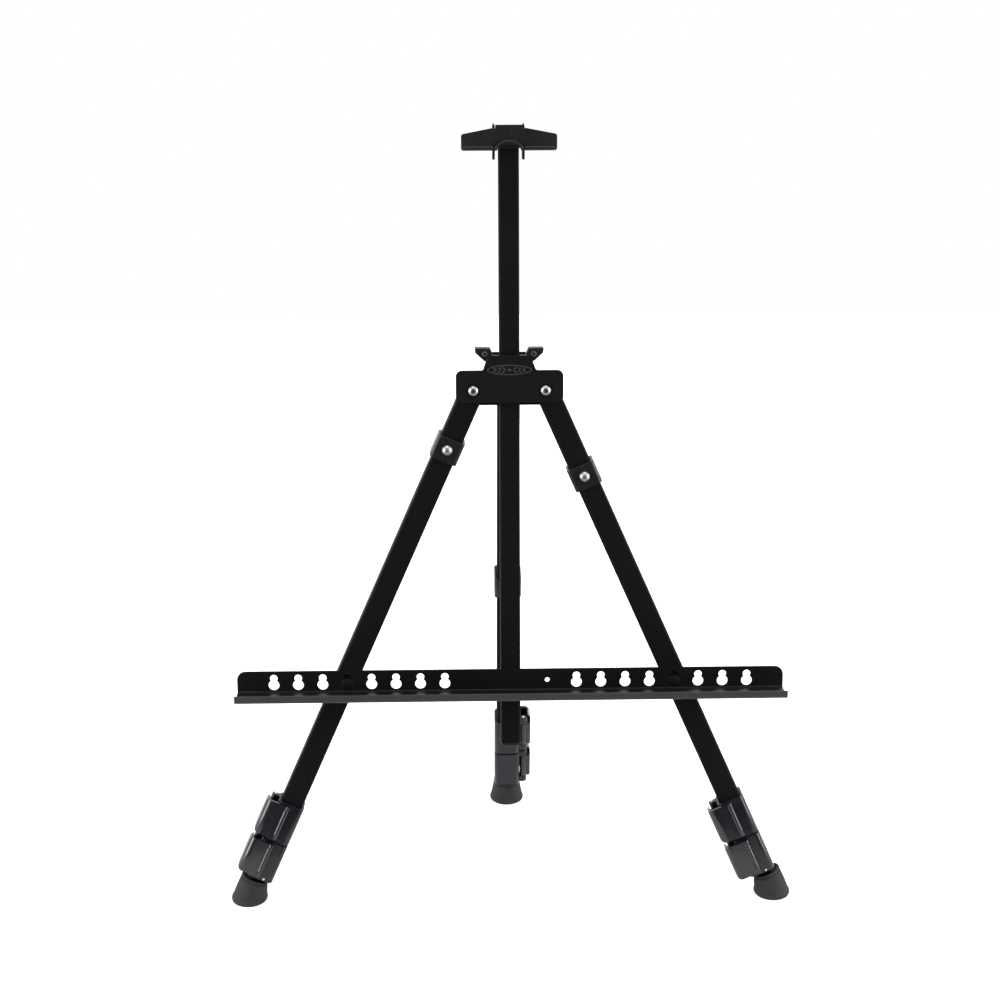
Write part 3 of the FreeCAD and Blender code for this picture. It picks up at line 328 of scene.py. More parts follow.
def leg_frame(name):
    """A leg's frame: origin where its axis meets the floor, z up the leg, -y the leg's face."""
    up = -Vector(JOINTS[f"{name}_inner_slide"]["axis"]).normalized()
    back = -Vector(JOINTS["left_leg_swing"]["axis"])
    if name == "rear":
        back = up.cross(Vector((1, 0, 0)))
    low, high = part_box(f"{name}_inner_tube")
    middle = (low + high) / 2
    sole = middle - up * (middle.z / up.z)
    return Matrix.Translation(sole) @ across(up, back.normalized()).to_4x4()


def read_slots():
    """The material slot that the record gives each CAD node."""
    return {part["node"]: part["material_slot"] for part in frame["record"]["subparts"]}


NODE_SLOTS = read_slots()


def body_of(node):
    """The body that the record gives a CAD node."""
    return next(name for name, nodes in BODY_NODES.items() if node in nodes)


def head_frame():
    """The head's frame: origin on the mast's axis level with the leg rivets, z up the mast."""
    swing = JOINTS["left_leg_swing"]
    up = Vector(JOINTS["mast_slide"]["axis"]).normalized()
    level = Vector(swing["pos_m"])
    level.x = 0.0
    return Matrix.Translation(level) @ across(up, -Vector(swing["axis"]).normalized()).to_4x4()


def extent(node, place):
    """Lowest and highest corners of a CAD node in a given frame."""
    inverse = place.inverted()
    points = [inverse @ vertex.co for vertex in NODES[node].data.vertices]
    low = Vector([min(point[k] for point in points) for k in range(3)])
    high = Vector([max(point[k] for point in points) for k in range(3)])
    return low, high


# Pieces
def dress(names, bevel=0.0, segments=2):
    """Give CAD nodes their finish and, where asked, softened edges."""
    for name in names:
        piece = NODES[name]
        piece.data.materials.clear()
        piece.data.materials.append(finish(NODE_SLOTS[name]))
        if bevel:
            soften(piece, bevel, segments)


def soften(piece, width, segments):
    """Join the split vertices of a tessellated piece and round its sharp edges."""
    weld = piece.modifiers.new("join", "WELD")
    weld.merge_threshold = 0.002 * MM
    bevel = piece.modifiers.new("edges", "BEVEL")
    bevel.width = width
    bevel.segments = segments
    bevel.limit_method = "ANGLE"
    bevel.angle_limit = math.radians(SHARP)
    bevel.use_clamp_overlap = True
    bevel.harden_normals = True
    bevel.miter_outer = "MITER_ARC"


def new_piece(name, mesh, body, slot, stands_for=()):
    """Put a mesh in the scene on its body, with its slot's finish."""
    piece = bpy.data.objects.new(name, mesh)
    bpy.context.scene.collection.objects.link(piece)
    mesh.materials.append(finish(slot))
    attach(piece, body)
    if stands_for:
        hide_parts(*stands_for)
    return piece


def ring_mesh(name, rings, closed=False):
    """Skin a list of rings of points, and cap its ends or, closed, join the last ring to the first."""
    mesh = bmesh.new()
    rows = [[mesh.verts.new(point) for point in ring] for ring in rings]
    if closed:
        rows.append(rows[0])
    count = len(rows[0])
    for lower, upper in zip(rows, rows[1:]):
        for k in range(count):
            n = (k + 1) % count
            mesh.faces.new((lower[k], lower[n], upper[n], upper[k]))
    if not closed:
        mesh.faces.new(list(reversed(rows[0])))
        mesh.faces.new(rows[-1])
    bmesh.ops.recalc_face_normals(mesh, faces=mesh.faces)
    data = bpy.data.meshes.new(name)
    mesh.to_mesh(data)
    mesh.free()
    data.shade_smooth()
    return data


def circle(count):
    """Evenly spaced angles all the way round."""
    return [2 * math.pi * k / count for k in range(count)]


def disc_rings(place, middle, profile, facets):
    """Rings of a round detail that faces forward, from pairs of its radius and its rise."""
    rings = []
    for radius, rise in profile:
        centre = middle - Vector((0, rise, 0))
        rings.append([place @ (centre + Vector((math.cos(t), 0, math.sin(t))) * radius) for t in circle(facets)])
    return rings


def bead(place, start, end, width, height, taper=False, steps=8, facets=12):
    """Rings of a rounded rib from start to end, flattened to a height along the frame's y."""
    along = end - start
    side = Vector((0, 1, 0)).cross(along).normalized()
    rings = []
    for k in range(steps + 1):
        share = k / steps
        if taper:
            swell = max(0.06, math.sin(math.pi * min(max(share, 0.02), 0.98)))
        else:
            swell = end_round(share, width, along.length)
        centre = start + along * share
        turns = circle(facets)
        ring = [centre + side * (math.cos(t) * width * swell) for t in turns]
        rings.append([place @ (p + Vector((0, math.sin(t) * height * swell, 0))) for p, t in zip(ring, turns)])
    return rings


def block_ring(place, x0, x1, y0, y1, z, corner, steps=4):
    """A level ring round a box with rounded corners."""
    ring = []
    corners = ((x1, y1, 0), (x0, y1, 1), (x0, y0, 2), (x1, y0, 3))
    for x, y, quarter in corners:
        in_x = math.copysign(corner, x - (x0 + x1) / 2)
        in_y = math.copysign(corner, y - (y0 + y1) / 2)
        inward = Vector((x - in_x, y - in_y, z))
        for k in range(steps + 1):
            turn = math.pi / 2 * (quarter + k / steps)
            ring.append(place @ (inward + Vector((math.cos(turn), math.sin(turn), 0)) * corner))
    return ring


def end_round(share, width, length):
    """How full a rib is at a share of its length, with round ends."""
    reach = min(share, 1 - share) * length
    if reach >= width:
        return 1.0
    return max(0.15, math.sqrt(1 - (1 - reach / width) ** 2))


def rib(name, place, points, width, height, closed=False, facets=10):
    """A rounded rib along points in a frame's x, z plane, flattened to a height along its y."""
    count = len(points)
    rings = []
    for k, point in enumerate(points):
        before = points[(k - 1) % count] if closed or k else point
        after = points[(k + 1) % count] if closed or k < count - 1 else point
        side = Vector((0, 1, 0)).cross(after - before).normalized()
        full = 1.0 if closed or 0 < k < count - 1 else 0.3
        turns = circle(facets)
        ring = [point + side * (math.cos(t) * width * full) for t in turns]
        rings.append([place @ (p + Vector((0, math.sin(t) * height * full, 0))) for p, t in zip(ring, turns)])
    return ring_mesh(name, rings, closed)


def oval_points(half, half_height, height, depth, turns):
    """Points round an oval at turns of a circle, in a frame's x, z plane."""
    angles = [2 * math.pi * t for t in turns]
    return [Vector((half * math.cos(a), depth, height + half_height * math.sin(a))) for a in angles]


def cross_rib(place, start, end, radius, steps=8, facets=10):
    """Rings of a round rib that runs through the frame's y."""
    along = end - start
    rings = []
    for k in range(steps + 1):
        share = k / steps
        swell = end_round(share, radius, along.length)
        centre = start + along * share
        turns = circle(facets)
        rings.append([place @ (centre + Vector((math.cos(t), 0, math.sin(t))) * (radius * swell)) for t in turns])
    return rings


def joined(name, groups):
    """One mesh from several skins."""
    whole = bmesh.new()
    for rings in groups:
        part = ring_mesh(name, rings)
        whole.from_mesh(part)
        bpy.data.meshes.remove(part)
    data = bpy.data.meshes.new(name)
    whole.to_mesh(data)
    whole.free()
    data.shade_smooth()
    return data


class EaselOperator:
    """What every operator here shares."""

    bl_options = {"REGISTER", "UNDO"}


class EASEL_OT_head(EaselOperator, bpy.types.Operator):
    """Finish the pressed head, its rivets, washers and the rear bracket"""

    bl_idname = "easel.head"
    bl_label = "Head"

    def execute(self, context):
        dress(["head_front_plate", "head_back_plate"], 0.35 * MM, 3)
        dress(["rear_bracket", "mast_guide"], 0.3 * MM, 2)
        dress(["head_rivets", "leg_washers", "rear_hinge_bolt", "rear_hinge_nut"], 0.15 * MM, 2)
        self.emblem(context.scene.easel_emblem)
        return {"FINISHED"}

    def emblem(self, size):
        """A spray of leaves either side of a bud, pressed up inside the head's oval."""
        place = head_frame()
        low = extent("head_front_plate", place)[0]
        face = low.y + size.ring_rise
        middle = Vector((0, face, size.height))
        half_bud = Vector((size.bud, 0, 0))
        sprays = [bead(place, middle - half_bud, middle + half_bud, size.bud * 0.8, size.relief, True)]
        for side in (-1, 1):
            for k in range(size.leaves):
                foot = middle + Vector((side * (size.bud * 1.7 + k * size.leaf * 0.95), 0, 0))
                for lift in (-1, 1):
                    tip = foot + Vector((side * size.leaf, 0, lift * size.spread * (1 - 0.2 * k)))
                    sprays.append(bead(place, foot, tip, size.leaf * 0.2, size.relief, True))
        piece = new_piece("head_emblem", joined("head_emblem", sprays), "head", "head_black")
        # The leaves' paler paint is a painted highlight on the raised work.
        piece.data.materials[0] = relief_highlight_paint()
        subdivide(piece, 1)
        shares = [k / OVAL_STEPS for k in range(OVAL_STEPS)]
        points = oval_points(size.oval, size.oval_height, size.height, low.y, shares)
        ring = rib("head_oval", place, points, 0.45 * MM, 0.3 * MM, closed=True)
        piece = new_piece("head_oval", ring, "head", "head_black")
        # The oval rib's paler paint is a painted highlight along its rim.
        piece.data.materials[0] = relief_highlight_paint()


class EASEL_OT_mast_lock(EaselOperator, bpy.types.Operator):
    """Finish the two squeeze levers that lock the mast, with their pins and springs"""

    bl_idname = "easel.mast_lock"
    bl_label = "Mast Lock"

    def execute(self, context):
        dress(["mast_lock_lever_left", "mast_lock_lever_right"], 0.4 * MM, 3)
        dress(["mast_lock_pins", "mast_lock_springs"])
        place = head_frame()
        for side in ("left", "right"):
            self.ridges(place, side)
            self.pad(place, side, context.scene.easel_ear)
        return {"FINISHED"}

    def ear(self, place, side):
        """An ear's name, its corners, its outward sign and the x of its tip."""
        name = f"mast_lock_lever_{side}"
        low, high = extent(name, place)
        if side == "left":
            return name, low, high, -1, low.x
        return name, low, high, 1, high.x

    def pad(self, place, side, size):
        """The deep moulded thumb pad round an ear's tip, with its round boss."""
        name, low, high, outward, tip = self.ear(place, side)
        rings = []
        inset = 0.35 * MM
        for drop, out, inn in size.rows():
            x0, x1 = sorted((tip - outward * out, tip - outward * inn))
            rings.append(block_ring(place, x0, x1, low.y + inset, high.y - inset, high.z - drop, 0.8 * MM))
        new_piece(f"{name}_pad", ring_mesh(name, rings), f"lock_lever_{side}", "moulded_black")
        middle = Vector((tip - outward * size.boss_in, low.y + inset, high.z - size.boss_down))
        disc = [(size.boss, 0.0), (size.boss, 0.35 * MM), (size.boss * 0.8, 0.7 * MM)]
        disc += [(size.boss * 0.62, 0.7 * MM), (size.boss * 0.5, 0.35 * MM), (0.1 * MM, 0.3 * MM)]
        rings = disc_rings(place, middle, disc, BOSS_FACETS)
        piece = new_piece(f"{name}_boss", ring_mesh(name, rings), f"lock_lever_{side}", "moulded_black")
        # Painted highlight: the boss is given paler plastic to stand for the light it catches.
        piece.data.materials[0] = highlight_pale_plastic()

    def ridges(self, place, side):
        """Raised ridges on top of an ear, for the thumb."""
        name, low, high, outward, tip = self.ear(place, side)
        groups = []
        for k in range(RIDGES):
            x = tip - outward * (1.6 + 2.2 * k) * MM
            start = Vector((x, low.y + 0.8 * MM, high.z))
            end = Vector((x, high.y - 0.8 * MM, high.z))
            groups.append(cross_rib(place, start, end, 0.45 * MM))
        new_piece(f"{name}_ridges", joined(name, groups), f"lock_lever_{side}", "moulded_black")


class EASEL_OT_tubes(EaselOperator, bpy.types.Operator):
    """Finish the mast, the leg tubes and their end plugs"""

    bl_idname = "easel.tubes"
    bl_label = "Tubes and Plugs"

    def execute(self, context):
        names = ["mast_tube"]
        names += [f"{leg}_{part}_tube" for leg in LEGS for part in ("outer", "middle", "inner")]
        dress(names, 0.15 * MM, 2)
        dress(["mast_end_plugs"] + [f"{leg}_top_plug" for leg in LEGS], 0.3 * MM, 2)
        return {"FINISHED"}


class EASEL_OT_clamps(EaselOperator, bpy.types.Operator):
    """Finish the flip-lever clamps and their pins"""

    bl_idname = "easel.clamps"
    bl_label = "Leg Clamps"

    def execute(self, context):
        stages = [f"{leg}_{stage}" for leg in LEGS for stage in STAGES]
        dress([f"{name}_clamp" for name in stages], 0.5 * MM, 3)
        dress([f"{name}_lever" for name in stages], 0.6 * MM, 3)
        dress([f"{name}_lever_pin" for name in stages], 0.2 * MM, 2)
        for leg in LEGS:
            place = leg_frame(leg)
            if leg == "rear":
                place = place @ Matrix.Rotation(math.pi, 4, "Z")  # its levers close behind it
            for stage in STAGES:
                self.grip_rib(place, leg, stage, context.scene.easel_clamp)
            self.screw(place, leg, context.scene.easel_clamp)
        return {"FINISHED"}

    def grip_rib(self, place, leg, stage, size):
        """The full round rib along a lever's free edge."""
        name = f"{leg}_{stage}_lever"
        low, high = extent(name, place)
        ends = (low.z + size.rib_inset, high.z - size.rib_inset)
        x = high.x - size.rib
        heights = [ends[0] + (ends[1] - ends[0]) * t for t in RIB_STEPS]
        points = [Vector((x, low.y + size.rib * 0.55, z)) for z in heights]
        mesh = rib(f"{name}_rib", place, points, size.rib, size.rib, facets=16)
        piece = new_piece(f"{name}_rib", mesh, body_of(name), "lever_black")
        subdivide(piece, 1)

    def screw(self, place, leg, size):
        """The small pan-head screw at the foot of a leg's lower clamp."""
        name = f"{leg}_lower_clamp"
        low = extent(name, place)[0]
        middle = Vector((size.screw_across, low.y, low.z + size.screw_up))
        rings = disc_rings(place, middle, [(size.screw * r, rise * MM) for r, rise in SCREW_HEAD], SCREW_FACETS)
        new_piece(f"{name}_screw", ring_mesh(name, rings), body_of(name), "zinc_steel")


class EASEL_OT_collars(EaselOperator, bpy.types.Operator):
    """Finish the sliding collars and their studs"""

    bl_idname = "easel.collars"
    bl_label = "Collars"

    def execute(self, context):
        dress([f"{leg}_collar" for leg in LEGS], 0.6 * MM, 3)
        dress([f"{leg}_collar_stud" for leg in LEGS])
        return {"FINISHED"}


class EASEL_OT_feet(EaselOperator, bpy.types.Operator):
    """Mould the three flared rubber feet"""

    bl_idname = "easel.feet"
    bl_label = "Feet"

    def execute(self, context):
        for leg in LEGS:
            self.mould(leg, context.scene.easel_foot)
        return {"FINISHED"}

    def mould(self, leg, size):
        place = leg_frame(leg)
        up = place.to_3x3() @ Vector((0, 0, 1))
        sole = place.translation
        flat = Vector((0, 0, 1))
        top = sole + up * size.height
        lean = Vector((sole.x - top.x, sole.y - top.y, 0)) * size.upright
        rings = []
        for along, radius in self.profile(size):
            share = along ** 1.2
            normal = flat.lerp(up, share).normalized()
            centre = sole.lerp(top + lean, share) + flat * ((along - share) * size.height)
            side = (Vector((1, 0, 0)) - normal * normal.x).normalized()
            other = normal.cross(side)
            turns = circle(size.facets)
            rings.append([centre + (side * math.cos(t) + other * math.sin(t)) * radius for t in turns])
        mesh = ring_mesh(f"{leg}_foot_cup", rings)
        piece = new_piece(f"{leg}_foot_cup", mesh, f"{leg}_inner", "foot_rubber", [f"{leg}_foot"])
        subdivide(piece, 1)

    def profile(self, size):
        """Shares of the height and radii, from the middle of the sole up and into the socket."""
        low, high = size.sole_radius, size.top_radius
        waist = lambda t: high + (low - high) * (1 - t) ** 1.08
        rows = [(0.03, low * 0.35), (0.03, low * 0.60), (0.0, low * 0.66), (0.0, low - 1.3 * MM)]
        rows += [(0.02, low - 0.5 * MM), (0.06, low - 0.05 * MM), (0.12, low), (0.16, low - 0.1 * MM)]
        rows += [(0.175, low - 0.75 * MM), (0.2, waist(0.2)), (0.25, waist(0.25))]
        rows += [(t, waist(t)) for t in (0.35, 0.5, 0.65, 0.78, 0.85, 0.87)]
        rim = size.rim
        rows += [(0.878, high - size.groove), (0.91, high - size.groove), (0.92, high + rim), (0.93, high + rim)]
        rows += [(0.965, high + rim), (0.985, high + 0.5 * rim)]
        rows += [(1.0, high - 0.6 * MM), (1.0, high - 1.8 * MM), (0.97, high - 2.6 * MM)]
        rows += [(0.9, high - 2.9 * MM), (0.9, 2.0 * MM)]
        return rows


def subdivide(piece, levels):
    modifier = piece.modifiers.new("smooth", "SUBSURF")
    modifier.levels = levels
    modifier.render_levels = levels


class EASEL_OT_tray(EaselOperator, bpy.types.Operator):
    """Finish the bent tray and its two pegs"""

    bl_idname = "easel.tray"
    bl_label = "Tray"

    def execute(self, context):
        dress(["tray"], 0.2 * MM, 2)
        dress(["tray_pegs"], 0.3 * MM, 2)
        return {"FINISHED"}


class EASEL_OT_holder(EaselOperator, bpy.types.Operator):
    """Finish the canvas holder on top of the mast, with its squeeze grips"""

    bl_idname = "easel.holder"
    bl_label = "Canvas Holder"

    def execute(self, context):
        dress(["holder_sleeve", "holder_grip_left", "holder_grip_right"], 0.35 * MM, 2)
        dress(["holder_jaw"], 0.35 * MM, 2)
        dress(["holder_pins"])
        self.ribs(context.scene.easel_jaw)
        return {"FINISHED"}

    def ribs(self, size):
        """Rounded ribs along the jaw's lower edge and over its arch."""
        place = head_frame()
        low, high = extent("holder_jaw", place)
        face = low.y + size.stand
        body = body_of("holder_jaw")
        for side, label in ((-1, "left"), (1, "right")):
            start = side * (size.arch_half + 1.6 * MM)
            end = side * (high.x - size.end)
            points = [Vector((start + (end - start) * t, face, low.z + size.rib * 1.3)) for t in RIB_STEPS]
            name = f"holder_rib_{label}"
            mesh = rib(name, place, points, size.rib, size.relief)
            new_piece(name, mesh, body, "moulded_black")
        turns = [0.5 * k / ARCH_STEPS for k in range(ARCH_STEPS + 1)]
        points = oval_points(size.arch_half, size.arch_rise, low.z + 0.4 * MM, low.y, turns)
        mesh = rib("holder_arch_rib", place, points, 1.0 * MM, size.relief)
        piece = new_piece("holder_arch_rib", mesh, body, "moulded_black")
        subdivide(piece, 1)


class EASEL_OT_stage(EaselOperator, bpy.types.Operator):
    """Set the floor, the studio light and the camera"""

    bl_idname = "easel.stage"
    bl_label = "Stage"

    def execute(self, context):
        studio = context.scene.easel_studio
        self.floor(studio)
        self.surroundings(context.scene, studio)
        reach = studio.lamp_distance
        lamps = {
            "overhead": ((0.0, 0.1, 1.25 * reach), (1.3, 1.3), studio.overhead),
            "left_strip": ((-0.9 * reach, -0.35 * reach, 0.4 * reach), studio.strip_size, studio.side),
            "right_strip": ((0.9 * reach, -0.35 * reach, 0.4 * reach), studio.strip_size, studio.side),
            "left_rim": ((-0.75 * reach, 0.8 * reach, 0.45 * reach), studio.strip_size, studio.rim),
            "right_rim": ((0.75 * reach, 0.8 * reach, 0.45 * reach), studio.strip_size, studio.rim),
        }
        for name, (place, size, power) in lamps.items():
            self.lamp(name, Vector(place), size, power)
        self.camera(context.scene, studio)
        context.scene.view_settings.view_transform = "Standard"
        return {"FINISHED"}

    def floor(self, studio):
        half = studio.floor_size / 2
        mesh = bpy.data.meshes.new("floor")
        front = -studio.floor_front
        corners = [(-half, front, 0), (half, front, 0), (half, half, 0), (-half, half, 0)]
        mesh.from_pydata(corners, [], [(0, 1, 2, 3)])
        plane = bpy.data.objects.new("floor", mesh)
        bpy.context.scene.collection.objects.link(plane)
        sheet = Sheet(bpy.data.materials.new("easel_floor"))
        ray = sheet.node("LightPath", output="Is Camera Ray")
        grain = sheet.noise(40.0, 3.0)
        tone = sheet.blend(grain, studio.floor_colour, [min(1.0, c * 1.01) for c in studio.floor_colour])
        card = sheet.node("BsdfDiffuse", None, {"Color": tone}, "BSDF")
        glow = sheet.node("Emission", None, {"Color": (1, 1, 1), "Strength": studio.floor_glow}, "Emission")
        both = sheet.node("AddShader", None, {0: card, 1: glow})
        pick = sheet.node("MixShader", None, {"Fac": ray, 1: card, 2: both})
        sheet.node("OutputMaterial", None, {"Surface": pick})
        mesh.materials.append(sheet.owner)

    def surroundings(self, scene, studio):
        world = bpy.data.worlds.new("easel_studio")
        scene.world = world
        sheet = Sheet(world)
        kinds = ("Is Camera Ray", "Is Glossy Ray", "Is Transmission Ray")
        path = {kind: sheet.node("LightPath", output=kind) for kind in kinds}
        toward = sheet.node("TexCoord", output="Generated")
        back = sheet.node("SeparateXYZ", None, {"Vector": toward}, "Y")
        white = back.between(-0.96, -0.4) * (1 - studio.dark_side) + studio.dark_side
        seen = path["Is Camera Ray"].math("MAXIMUM", path["Is Transmission Ray"])
        level = path["Is Glossy Ray"] * white + (1 - path["Is Glossy Ray"]) * studio.ambient
        strength = seen + (1 - seen) * level
        light = sheet.node("Background", None, {"Color": (1.0, 1.0, 1.0), "Strength": strength})
        sheet.node("OutputWorld", None, {"Surface": light})

    def lamp(self, name, place, size, power):
        data = bpy.data.lights.new(name, "AREA")
        data.shape = "RECTANGLE"
        data.size, data.size_y = size
        data.energy = power
        lamp = bpy.data.objects.new(name, data)
        lamp.visible_camera = False
        bpy.context.scene.collection.objects.link(lamp)
        aim = LAMP_AIM - place
        lamp.matrix_world = Matrix.Translation(place) @ aim.to_track_quat("-Z", "Y").to_matrix().to_4x4()

    def camera(self, scene, studio):
        data = bpy.data.cameras.new("camera")
        data.sensor_width = SENSOR
        data.lens = studio.lens
        camera = bpy.data.objects.new("camera", data)
        scene.collection.objects.link(camera)
        heading, tilt, roll = studio.heading, studio.tilt, studio.roll
        ahead = Vector((math.sin(heading) * math.cos(tilt), math.cos(heading) * math.cos(tilt), math.sin(tilt)))
        level = Vector((math.cos(heading), -math.sin(heading), 0))
        up = level.cross(ahead)
        side = level * math.cos(roll) + up * math.sin(roll)
        top = up * math.cos(roll) - level * math.sin(roll)
        turn = Matrix((side, top, -ahead)).transposed().to_4x4()
        camera.matrix_world = Matrix.Translation(Vector(studio.camera_place)) @ turn
        scene.camera = camera


# Settings
def colour_property(name, value, description):
    return FloatVectorProperty(
        name=name, description=description, subtype="COLOR", size=3, min=0.0, max=1.0, default=value
    )


def length_property(name, value, description):
    return FloatProperty(name=name, description=description, unit="LENGTH", min=0.0, default=value, precision=5)


def share_property(name, value, description):
    return FloatProperty(name=name, description=description, subtype="FACTOR", min=0.0, max=1.0, default=value)


def angle_property(name, degrees, description):
    return FloatProperty(name=name, description=description, subtype="ANGLE", default=math.radians(degrees))


class EaselFinish(bpy.types.PropertyGroup):
    """Colours and surface sizes of the finishes"""

    paint: colour_property("Head Paint", (0.0075, 0.0062, 0.0075), "Paint on the head plates")
    tube_paint: colour_property("Tube Paint", (0.006, 0.005, 0.006), "Paint on the mast and legs")
    tray_paint: colour_property("Tray Paint", (0.0075, 0.0065, 0.0075), "Paint on the tray")
    plastic: colour_property("Plastic", (0.013, 0.012, 0.014), "Holder, collars, plugs and levers")
    clamp_plastic: colour_property("Clamp Plastic", (0.0115, 0.0095, 0.014), "Leg clamps and their levers")
    # Painted highlight: paler plastic on small raised work, standing for the light it catches, not for wear.
    highlight_pale_plastic: colour_property("Pale Plastic", (0.07, 0.068, 0.075), "Worn bosses and pin ends")
    rubber: colour_property("Rubber", (0.021, 0.0195, 0.0215), "The feet")
    plating: colour_property("Plating", (0.72, 0.73, 0.74), "Zinc-plated rivets, studs and bolts")
    spring_colour: colour_property("Spring", (0.45, 0.45, 0.46), "Spring wire")
    nylon: colour_property("Nylon", (0.62, 0.61, 0.58), "Washers at the leg rivets")
    # Painted highlight: paler paint on the head's raised work, standing for the light it catches.
    relief_highlight_paint: colour_property("Relief Paint", (0.045, 0.043, 0.047), "Paint on the head's raised work")
    # Painted sheen: the front lip is coloured paler for the light it catches, not for worn paint.
    lip_sheen_colour: colour_property("Lip", (0.055, 0.053, 0.054), "Worn paint on the tray's front lip")
    rubbed_colour: colour_property("Rubbed", (0.075, 0.073, 0.075), "Where paint or plastic is rubbed")
    paint_roughness: share_property("Paint Roughness", 0.42, "Roughness of the paint")
    paint_specular: share_property("Paint Specular", 0.17, "Specular level of the paint")
    plastic_specular: share_property("Plastic Specular", 0.30, "Specular level of the plastic")
    edge_wear: share_property("Edge Wear", 0.45, "How far paint is rubbed along edges")
    peel_size: length_property("Peel Size", 0.9 * MM, "Width of the orange peel's dimples")
    peel_height: length_property("Peel Height", 0.03 * MM, "Depth of the orange peel")


class EaselFoot(bpy.types.PropertyGroup):
    """Sizes of a rubber foot"""

    height: length_property("Height", 22.4 * MM, "Foot height along the leg")
    sole_radius: length_property("Sole Radius", 15.2 * MM, "Radius of the sole")
    top_radius: length_property("Top Radius", 11.4 * MM, "Radius below the rim")
    upright: share_property("Upright", 0.38, "Share of the leg's lean that the foot's top gives back")
    groove: length_property("Groove", 0.7 * MM, "Depth of the groove under the rim")
    rim: length_property("Rim", 0.35 * MM, "How far the top rim stands out")
    facets: IntProperty(name="Facets", description="Steps round the foot", min=12, max=96, default=36)


class EaselEmblem(bpy.types.PropertyGroup):
    """Sizes of the pressed emblem"""

    height: length_property("Height", 16.9 * MM, "Height above the rivets")
    ring_rise: length_property("Ring Rise", 0.5 * MM, "How far the oval stands out of the plate")
    relief: length_property("Relief", 0.45 * MM, "How far the leaves stand out")
    oval: length_property("Oval", 17.3 * MM, "Half the oval's length")
    oval_height: length_property("Oval Height", 3.7 * MM, "Half the oval's height")
    bud: length_property("Bud", 1.7 * MM, "Half the bud's width")
    leaf: length_property("Leaf", 3.7 * MM, "Length of a leaf, along the oval")
    spread: length_property("Spread", 3.0 * MM, "Height of the first leaf's tip above the oval's middle")
    leaves: IntProperty(name="Leaves", description="Pairs of leaves on each side", min=1, max=6, default=3)


class EaselClamp(bpy.types.PropertyGroup):
    """Sizes of the clamps' details"""

    rib: length_property("Rib", 2.1 * MM, "Radius of the rib along a lever's free edge")
    rib_inset: length_property("Rib Inset", 2.6 * MM, "Rib's ends inside the lever's")
    screw: length_property("Screw", 1.0 * MM, "Radius of the screw's head")
    screw_across: length_property("Screw Across", 3.4 * MM, "Screw beside the leg's axis")
    screw_up: length_property("Screw Up", 1.9 * MM, "Screw above the clamp's lower end")


class EaselEar(bpy.types.PropertyGroup):
    """Sizes of a thumb pad on the mast lock"""

    depth: length_property("Depth", 4.0 * MM, "Depth of the pad's outer side")
    slope: length_property("Slope", 6.2 * MM, "Fall of its sloping underside")
    reach: length_property("Reach", 10.6 * MM, "Pad's length in from the ear's tip")
    boss: length_property("Boss", 2.3 * MM, "Radius of the round boss")
    boss_in: length_property("Boss In", 8.0 * MM, "Boss inside the ear's tip")
    boss_down: length_property("Boss Down", 4.6 * MM, "Boss below the ear's top")

    def rows(self):
        """Drop below the ear's top, and the pad's outer and inner ends inside its tip."""
        lip = 0.3 * MM
        return (
            (lip, 0.9 * MM, self.reach - 0.6 * MM),
            (2 * lip, lip, self.reach),
            (self.depth - lip, lip, self.reach),
            (self.depth, 0.7 * MM, self.reach),
            (self.depth + self.slope * 0.5, self.reach * 0.38, self.reach + 0.8 * MM),
            (self.depth + self.slope, self.reach * 0.70, self.reach + 1.6 * MM),
        )


class EaselJaw(bpy.types.PropertyGroup):
    """Sizes of the ribs on the holder's jaw"""

    stand: length_property("Stand", 0.9 * MM, "The arch's rim in front of the jaw's face")
    rib: length_property("Rib", 1.5 * MM, "Half the height of the lower rib")
    relief: length_property("Relief", 0.9 * MM, "How far the ribs stand out")
    arch_half: length_property("Arch Half", 10.3 * MM, "Half the arch rib's width")
    arch_rise: length_property("Arch Rise", 6.9 * MM, "Height of the arch rib")
    end: length_property("End", 1.6 * MM, "Lower rib's ends inside the jaw's")


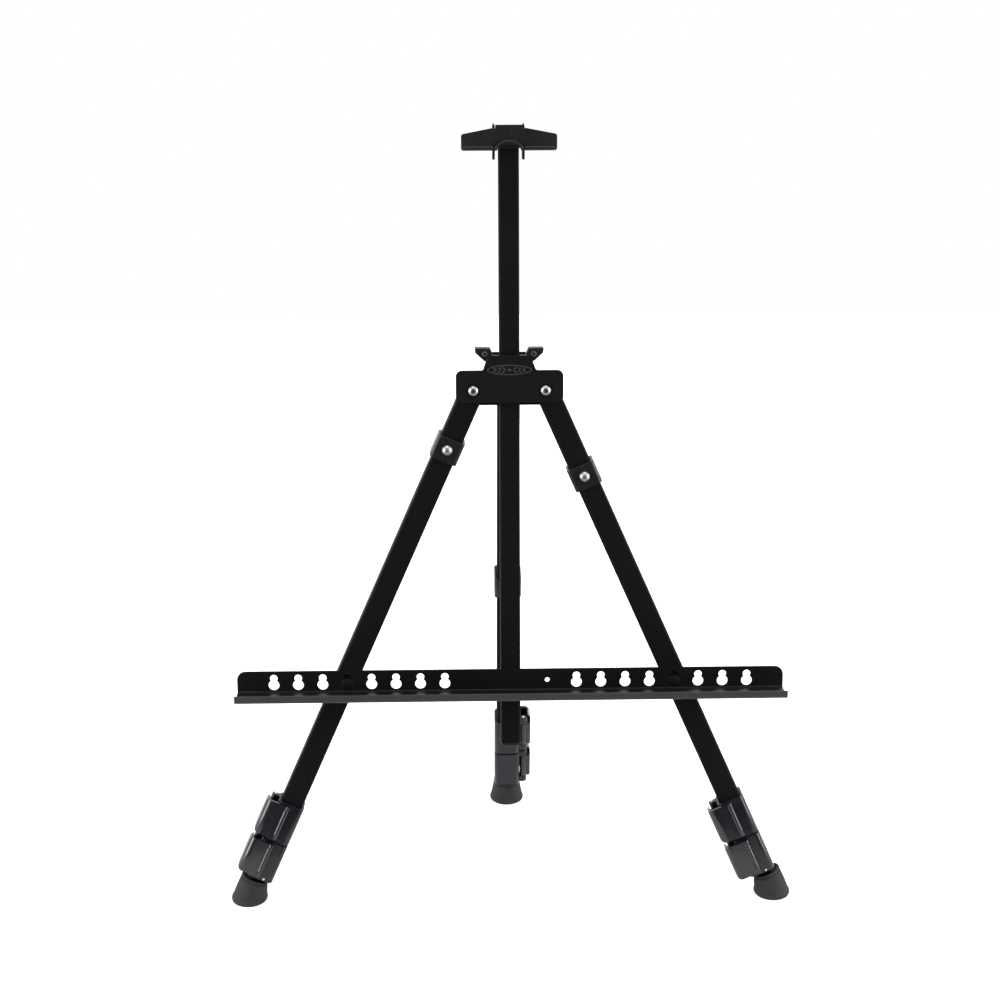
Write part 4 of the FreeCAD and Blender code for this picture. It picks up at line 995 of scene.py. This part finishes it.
class EaselStudio(bpy.types.PropertyGroup):
    """Floor, light and camera"""

    floor_size: length_property("Floor Size", 3.4, "Side of the floor")
    floor_front: length_property("Floor Front", 0.28, "How far the floor comes forward of the easel's middle")
    floor_colour: colour_property("Floor Colour", (0.86, 0.86, 0.86), "Colour of the floor")
    floor_glow: share_property("Floor Glow", 0.65, "Light the floor adds for the camera, to reach white")
    ambient: share_property("Ambient", 0.5, "Strength of the even light from all round")
    dark_side: share_property("Dark Side", 0.03, "How bright the camera's side looks in glossy surfaces")
    overhead: FloatProperty(name="Overhead", description="Power of the top lamp", unit="POWER", default=14.0)
    side: FloatProperty(name="Side", description="Power of each strip lamp", unit="POWER", default=20.0)
    rim: FloatProperty(name="Rim", description="Power of each lamp behind", unit="POWER", default=10.0)
    strip_size: FloatVectorProperty(
        name="Strip Size",
        description="Width and height of the strip lamps",
        unit="LENGTH",
        size=2,
        default=(0.6, 1.3),
    )
    lamp_distance: length_property("Lamp Distance", 1.6, "How far off the lamps stand")
    camera_place: FloatVectorProperty(
        name="Camera Place",
        description="Where the camera stands",
        subtype="TRANSLATION",
        unit="LENGTH",
        size=3,
        default=(-0.0391, -1.5701, 0.9347),
    )
    heading: angle_property("Heading", 1.167, "Camera's turn from straight ahead")
    tilt: angle_property("Tilt", -21.163, "Camera's tilt from level")
    roll: angle_property("Roll", -0.122, "Camera's roll")
    lens: FloatProperty(name="Lens", description="Focal length, millimetres", min=10.0, default=73.24)


OPERATORS = (
    EASEL_OT_head,
    EASEL_OT_mast_lock,
    EASEL_OT_tubes,
    EASEL_OT_clamps,
    EASEL_OT_collars,
    EASEL_OT_feet,
    EASEL_OT_tray,
    EASEL_OT_holder,
    EASEL_OT_stage,
)
SETTINGS = {
    "easel_finish": EaselFinish,
    "easel_emblem": EaselEmblem,
    "easel_ear": EaselEar,
    "easel_clamp": EaselClamp,
    "easel_jaw": EaselJaw,
    "easel_foot": EaselFoot,
    "easel_studio": EaselStudio,
}


class EASEL_PT_sidebar(bpy.types.Panel):
    """Lists the easel's operators and settings"""

    bl_idname = "EASEL_PT_sidebar"
    bl_label = "Tabletop Easel"
    bl_space_type = "VIEW_3D"
    bl_region_type = "UI"
    bl_category = "Easel"

    def draw(self, context):
        for operator in OPERATORS:
            self.layout.operator(operator.bl_idname)
        for name, group in SETTINGS.items():
            column = self.layout.column(heading=group.__doc__)
            for key in group.__annotations__:
                column.prop(getattr(context.scene, name), key)


def register():
    for kind in (*SETTINGS.values(), *OPERATORS, EASEL_PT_sidebar):
        bpy.utils.register_class(kind)
    for name, group in SETTINGS.items():
        setattr(bpy.types.Scene, name, PointerProperty(type=group))


def unregister():
    for name in SETTINGS:
        delattr(bpy.types.Scene, name)
    for kind in (EASEL_PT_sidebar, *reversed(OPERATORS), *reversed(SETTINGS.values())):
        bpy.utils.unregister_class(kind)


def main():
    register()
    for operator in OPERATORS:
        group, name = operator.bl_idname.split(".")
        getattr(getattr(bpy.ops, group), name)()


if __name__ == "__main__":
    main()
